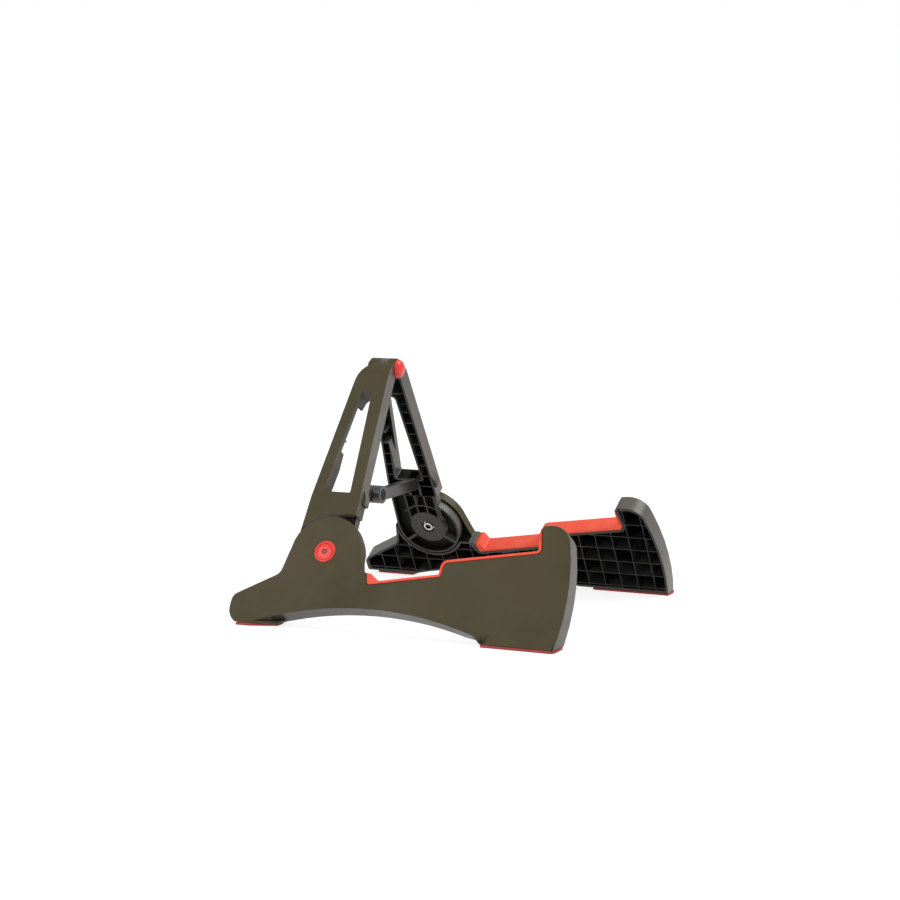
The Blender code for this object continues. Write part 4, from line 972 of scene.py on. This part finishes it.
def hinge_cap(name, face, way, rim, height, rise, finish):
    """The cap on an end of the hinge: a plug in the crown's recess, hollow for the pin, and a domed head.

    The dome is a quarter of an ellipse: at the angle a from the middle its radius is the rim's times
    sin a, and its height the head's plus the rise times cos a.
    """
    plug, head, socket, deep = 6.8, 3.25, 2.8, 1.3
    turn = np.linspace(0.0, math.pi / 2, 14)
    front = [((rim - 0.35) * math.sin(a), height + rise * math.cos(a)) for a in turn]
    front += [(rim - 0.1, height - 0.1), (rim, height - 0.35)]
    front += [(rim, head), (plug, head)] if rim > plug else []
    front += [(plug, 0.0), (socket, 0.0), (socket, deep), (0.0, deep)]
    profile = [(radius, face + way * level) for radius, level in front]
    return turned_piece(name, SIDES["right"], profile, finish, along="u", sharp=50.0)


def pin(name, side, radius, low, high, v, w, finish):
    """A straight pin along u with domed ends: near each end its radius falls as a quarter circle."""
    turn = np.linspace(0.0, math.pi / 2, 5)
    soft = min(0.5, radius / 2)
    first = [(radius - soft + soft * math.sin(a), low + soft - soft * math.cos(a)) for a in turn]
    last = [(radius - soft + soft * math.cos(a), high - soft + soft * math.sin(a)) for a in turn]
    profile = np.array([(0.0, low), *first, *last, (0.0, high)])
    angles = np.linspace(0.0, 2 * math.pi, PIN_STEPS, endpoint=False)
    r, u = profile[:, :1], profile[:, 1:] + 0.0 * angles
    points = stand_point(side, u, v + r * np.cos(angles), w + r * np.sin(angles))
    return closed_mesh(name, points, tube_faces(len(profile), PIN_STEPS, False), finish)


def knuckle_rivet(name, finish):
    """The rivet of the brace's knuckle: a low domed head, and a shank that ends in a shallow dimple.

    It lies along u in the middle of the stand, where the two halves' knuckles meet.
    """
    low, high = LINK_U["left"]
    u_low, u_high = low - MIDDLE_U, high - MIDDLE_U
    height = (LINK_V * math.cos(TILT) - LINK_W * math.sin(TILT)) * MM
    rim, shank = 4.4, 3.0
    profile = [(3.9 * t, u_high - 0.25 * t * t) for t in np.linspace(0.0, 1.0, 6)]
    profile += [(rim - 0.15, u_high - 0.35), (rim, u_high - 0.5), (rim, u_high - 0.7), (shank, u_high - 0.7)]
    profile += [(shank, u_low + 0.2), (shank - 0.2, u_low)]
    profile += [(1.4, u_low), (0.9, u_low + 0.4), (0.0, u_low + 0.5)]
    profile = np.array(profile)
    angles = np.linspace(0.0, 2 * math.pi, PIN_STEPS, endpoint=False)
    r, along = profile[:, :1] * MM, profile[:, 1:] * MM + 0.0 * angles
    points = np.stack(np.broadcast_arrays(along, r * np.cos(angles), height + r * np.sin(angles)), axis=-1)
    return closed_mesh(name, points, tube_faces(len(profile), PIN_STEPS, False), finish)


# Putting the stand together


def fit_piece(piece, body, slot, *nodes):
    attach(piece, body)
    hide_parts(*nodes)
    return piece


def finish_half(name, side, finishes):
    """Every piece of one half of the stand."""
    foot, upright, link = f"{name}_foot", f"{name}_upright", f"{name}_link"
    panel = f"{name}_foot_panel"
    fit_piece(moulding(panel, side, PANEL_W, finishes), foot, "shell_plastic", panel)
    fit_piece(moulding(upright, side, UPRIGHT_W, finishes), upright, "shell_plastic", upright)
    fit_piece(brace_link(link, finishes), link, "brace_plastic", link)

    pad = cradle_pad(f"{name}_pad", side, finishes["pad"])
    fit_piece(pad, foot, "pad_rubber", f"{name}_cradle_pad")
    toe = sole_strip(f"{name}_toe_sole", side, TOE_EDGE, 0.0, finishes["sole"])
    fit_piece(toe, foot, "foot_rubber", f"{name}_toe_foot")
    front = sole_strip(f"{name}_front_sole", side, FRONT_EDGE, FRONT_LEAD, finishes["sole"])
    fit_piece(front, foot, "foot_rubber", f"{name}_front_foot")

    steel = finishes["steel"]
    cap = pivot_cap(f"{name}_hub_cap", side, finishes["cap"])
    fit_piece(cap, foot, "cap_plastic", f"{name}_pivot_cap")
    bolt = pivot_bolt(f"{name}_shoulder_bolt", side, steel, finishes["inside"])
    fit_piece(bolt, foot, "hardware_steel", f"{name}_pivot_bolt")
    nut = pivot_nut(f"{name}_flange_nut", side, steel)
    fit_piece(nut, foot, "hardware_steel", f"{name}_pivot_nut")
    washer = pivot_washer(f"{name}_thin_washer", side, steel)
    fit_piece(washer, foot, "hardware_steel", f"{name}_pivot_washer")
    low, high = LINK_U[name]
    radius, reach = 2.0, FIT + 3.2
    link_pin = pin(f"{name}_brace_pin", side, radius, low - reach, high + reach, LINK_V, LINK_W, steel)
    fit_piece(link_pin, upright, "hardware_steel", f"{name}_link_pin")


def finish_middle(finishes):
    """What joins the halves: the hinge's pin and caps, and the rivet of the brace."""
    body = "right_upright"
    low, high = BARREL_U
    front_look = {"rim": 7.7, "height": 4.5, "rise": 3.6, "finish": finishes["cap"]}
    front = hinge_cap("front_hinge_cap", high + FIT, 1, **front_look)
    fit_piece(front, body, "cap_plastic", "hinge_cap_front")
    # the rear cap takes the rim's grey in place of red: painted shade
    rear_look = {"rim": 6.8, "height": 1.5, "rise": 0.8, "finish": finishes["rim"]}
    rear = hinge_cap("rear_hinge_cap", low - FIT, -1, **rear_look)
    fit_piece(rear, body, "cap_plastic", "hinge_cap_rear")
    radius, reach = 2.5, 1.2
    steel = finishes["steel"]
    apex = pin("apex_pin", SIDES["right"], radius, low - reach, high + reach, HINGE_V, HINGE_W, steel)
    fit_piece(apex, body, "hardware_steel", "hinge_pin")
    rivet = knuckle_rivet("brace_rivet", finishes["stud"])
    fit_piece(rivet, "left_link", "brace_plastic", "knuckle_rivet")


def main():
    finishes = make_finishes()
    make_camera()
    make_world()
    make_floor()
    make_lamp("key", place=(1.3, 0.9, 1.9), aim=(0.0, 0.0, 0.1), size=1.2, power=30.0)
    make_lamp("fill", place=(-0.85, -1.15, 0.9), aim=(-0.03, 0.0, 0.1), size=1.2, power=7.2)
    for name, side in SIDES.items():
        finish_half(name, side, finishes)
    finish_middle(finishes)
    bpy.context.scene.view_settings.view_transform = "Standard"


main()
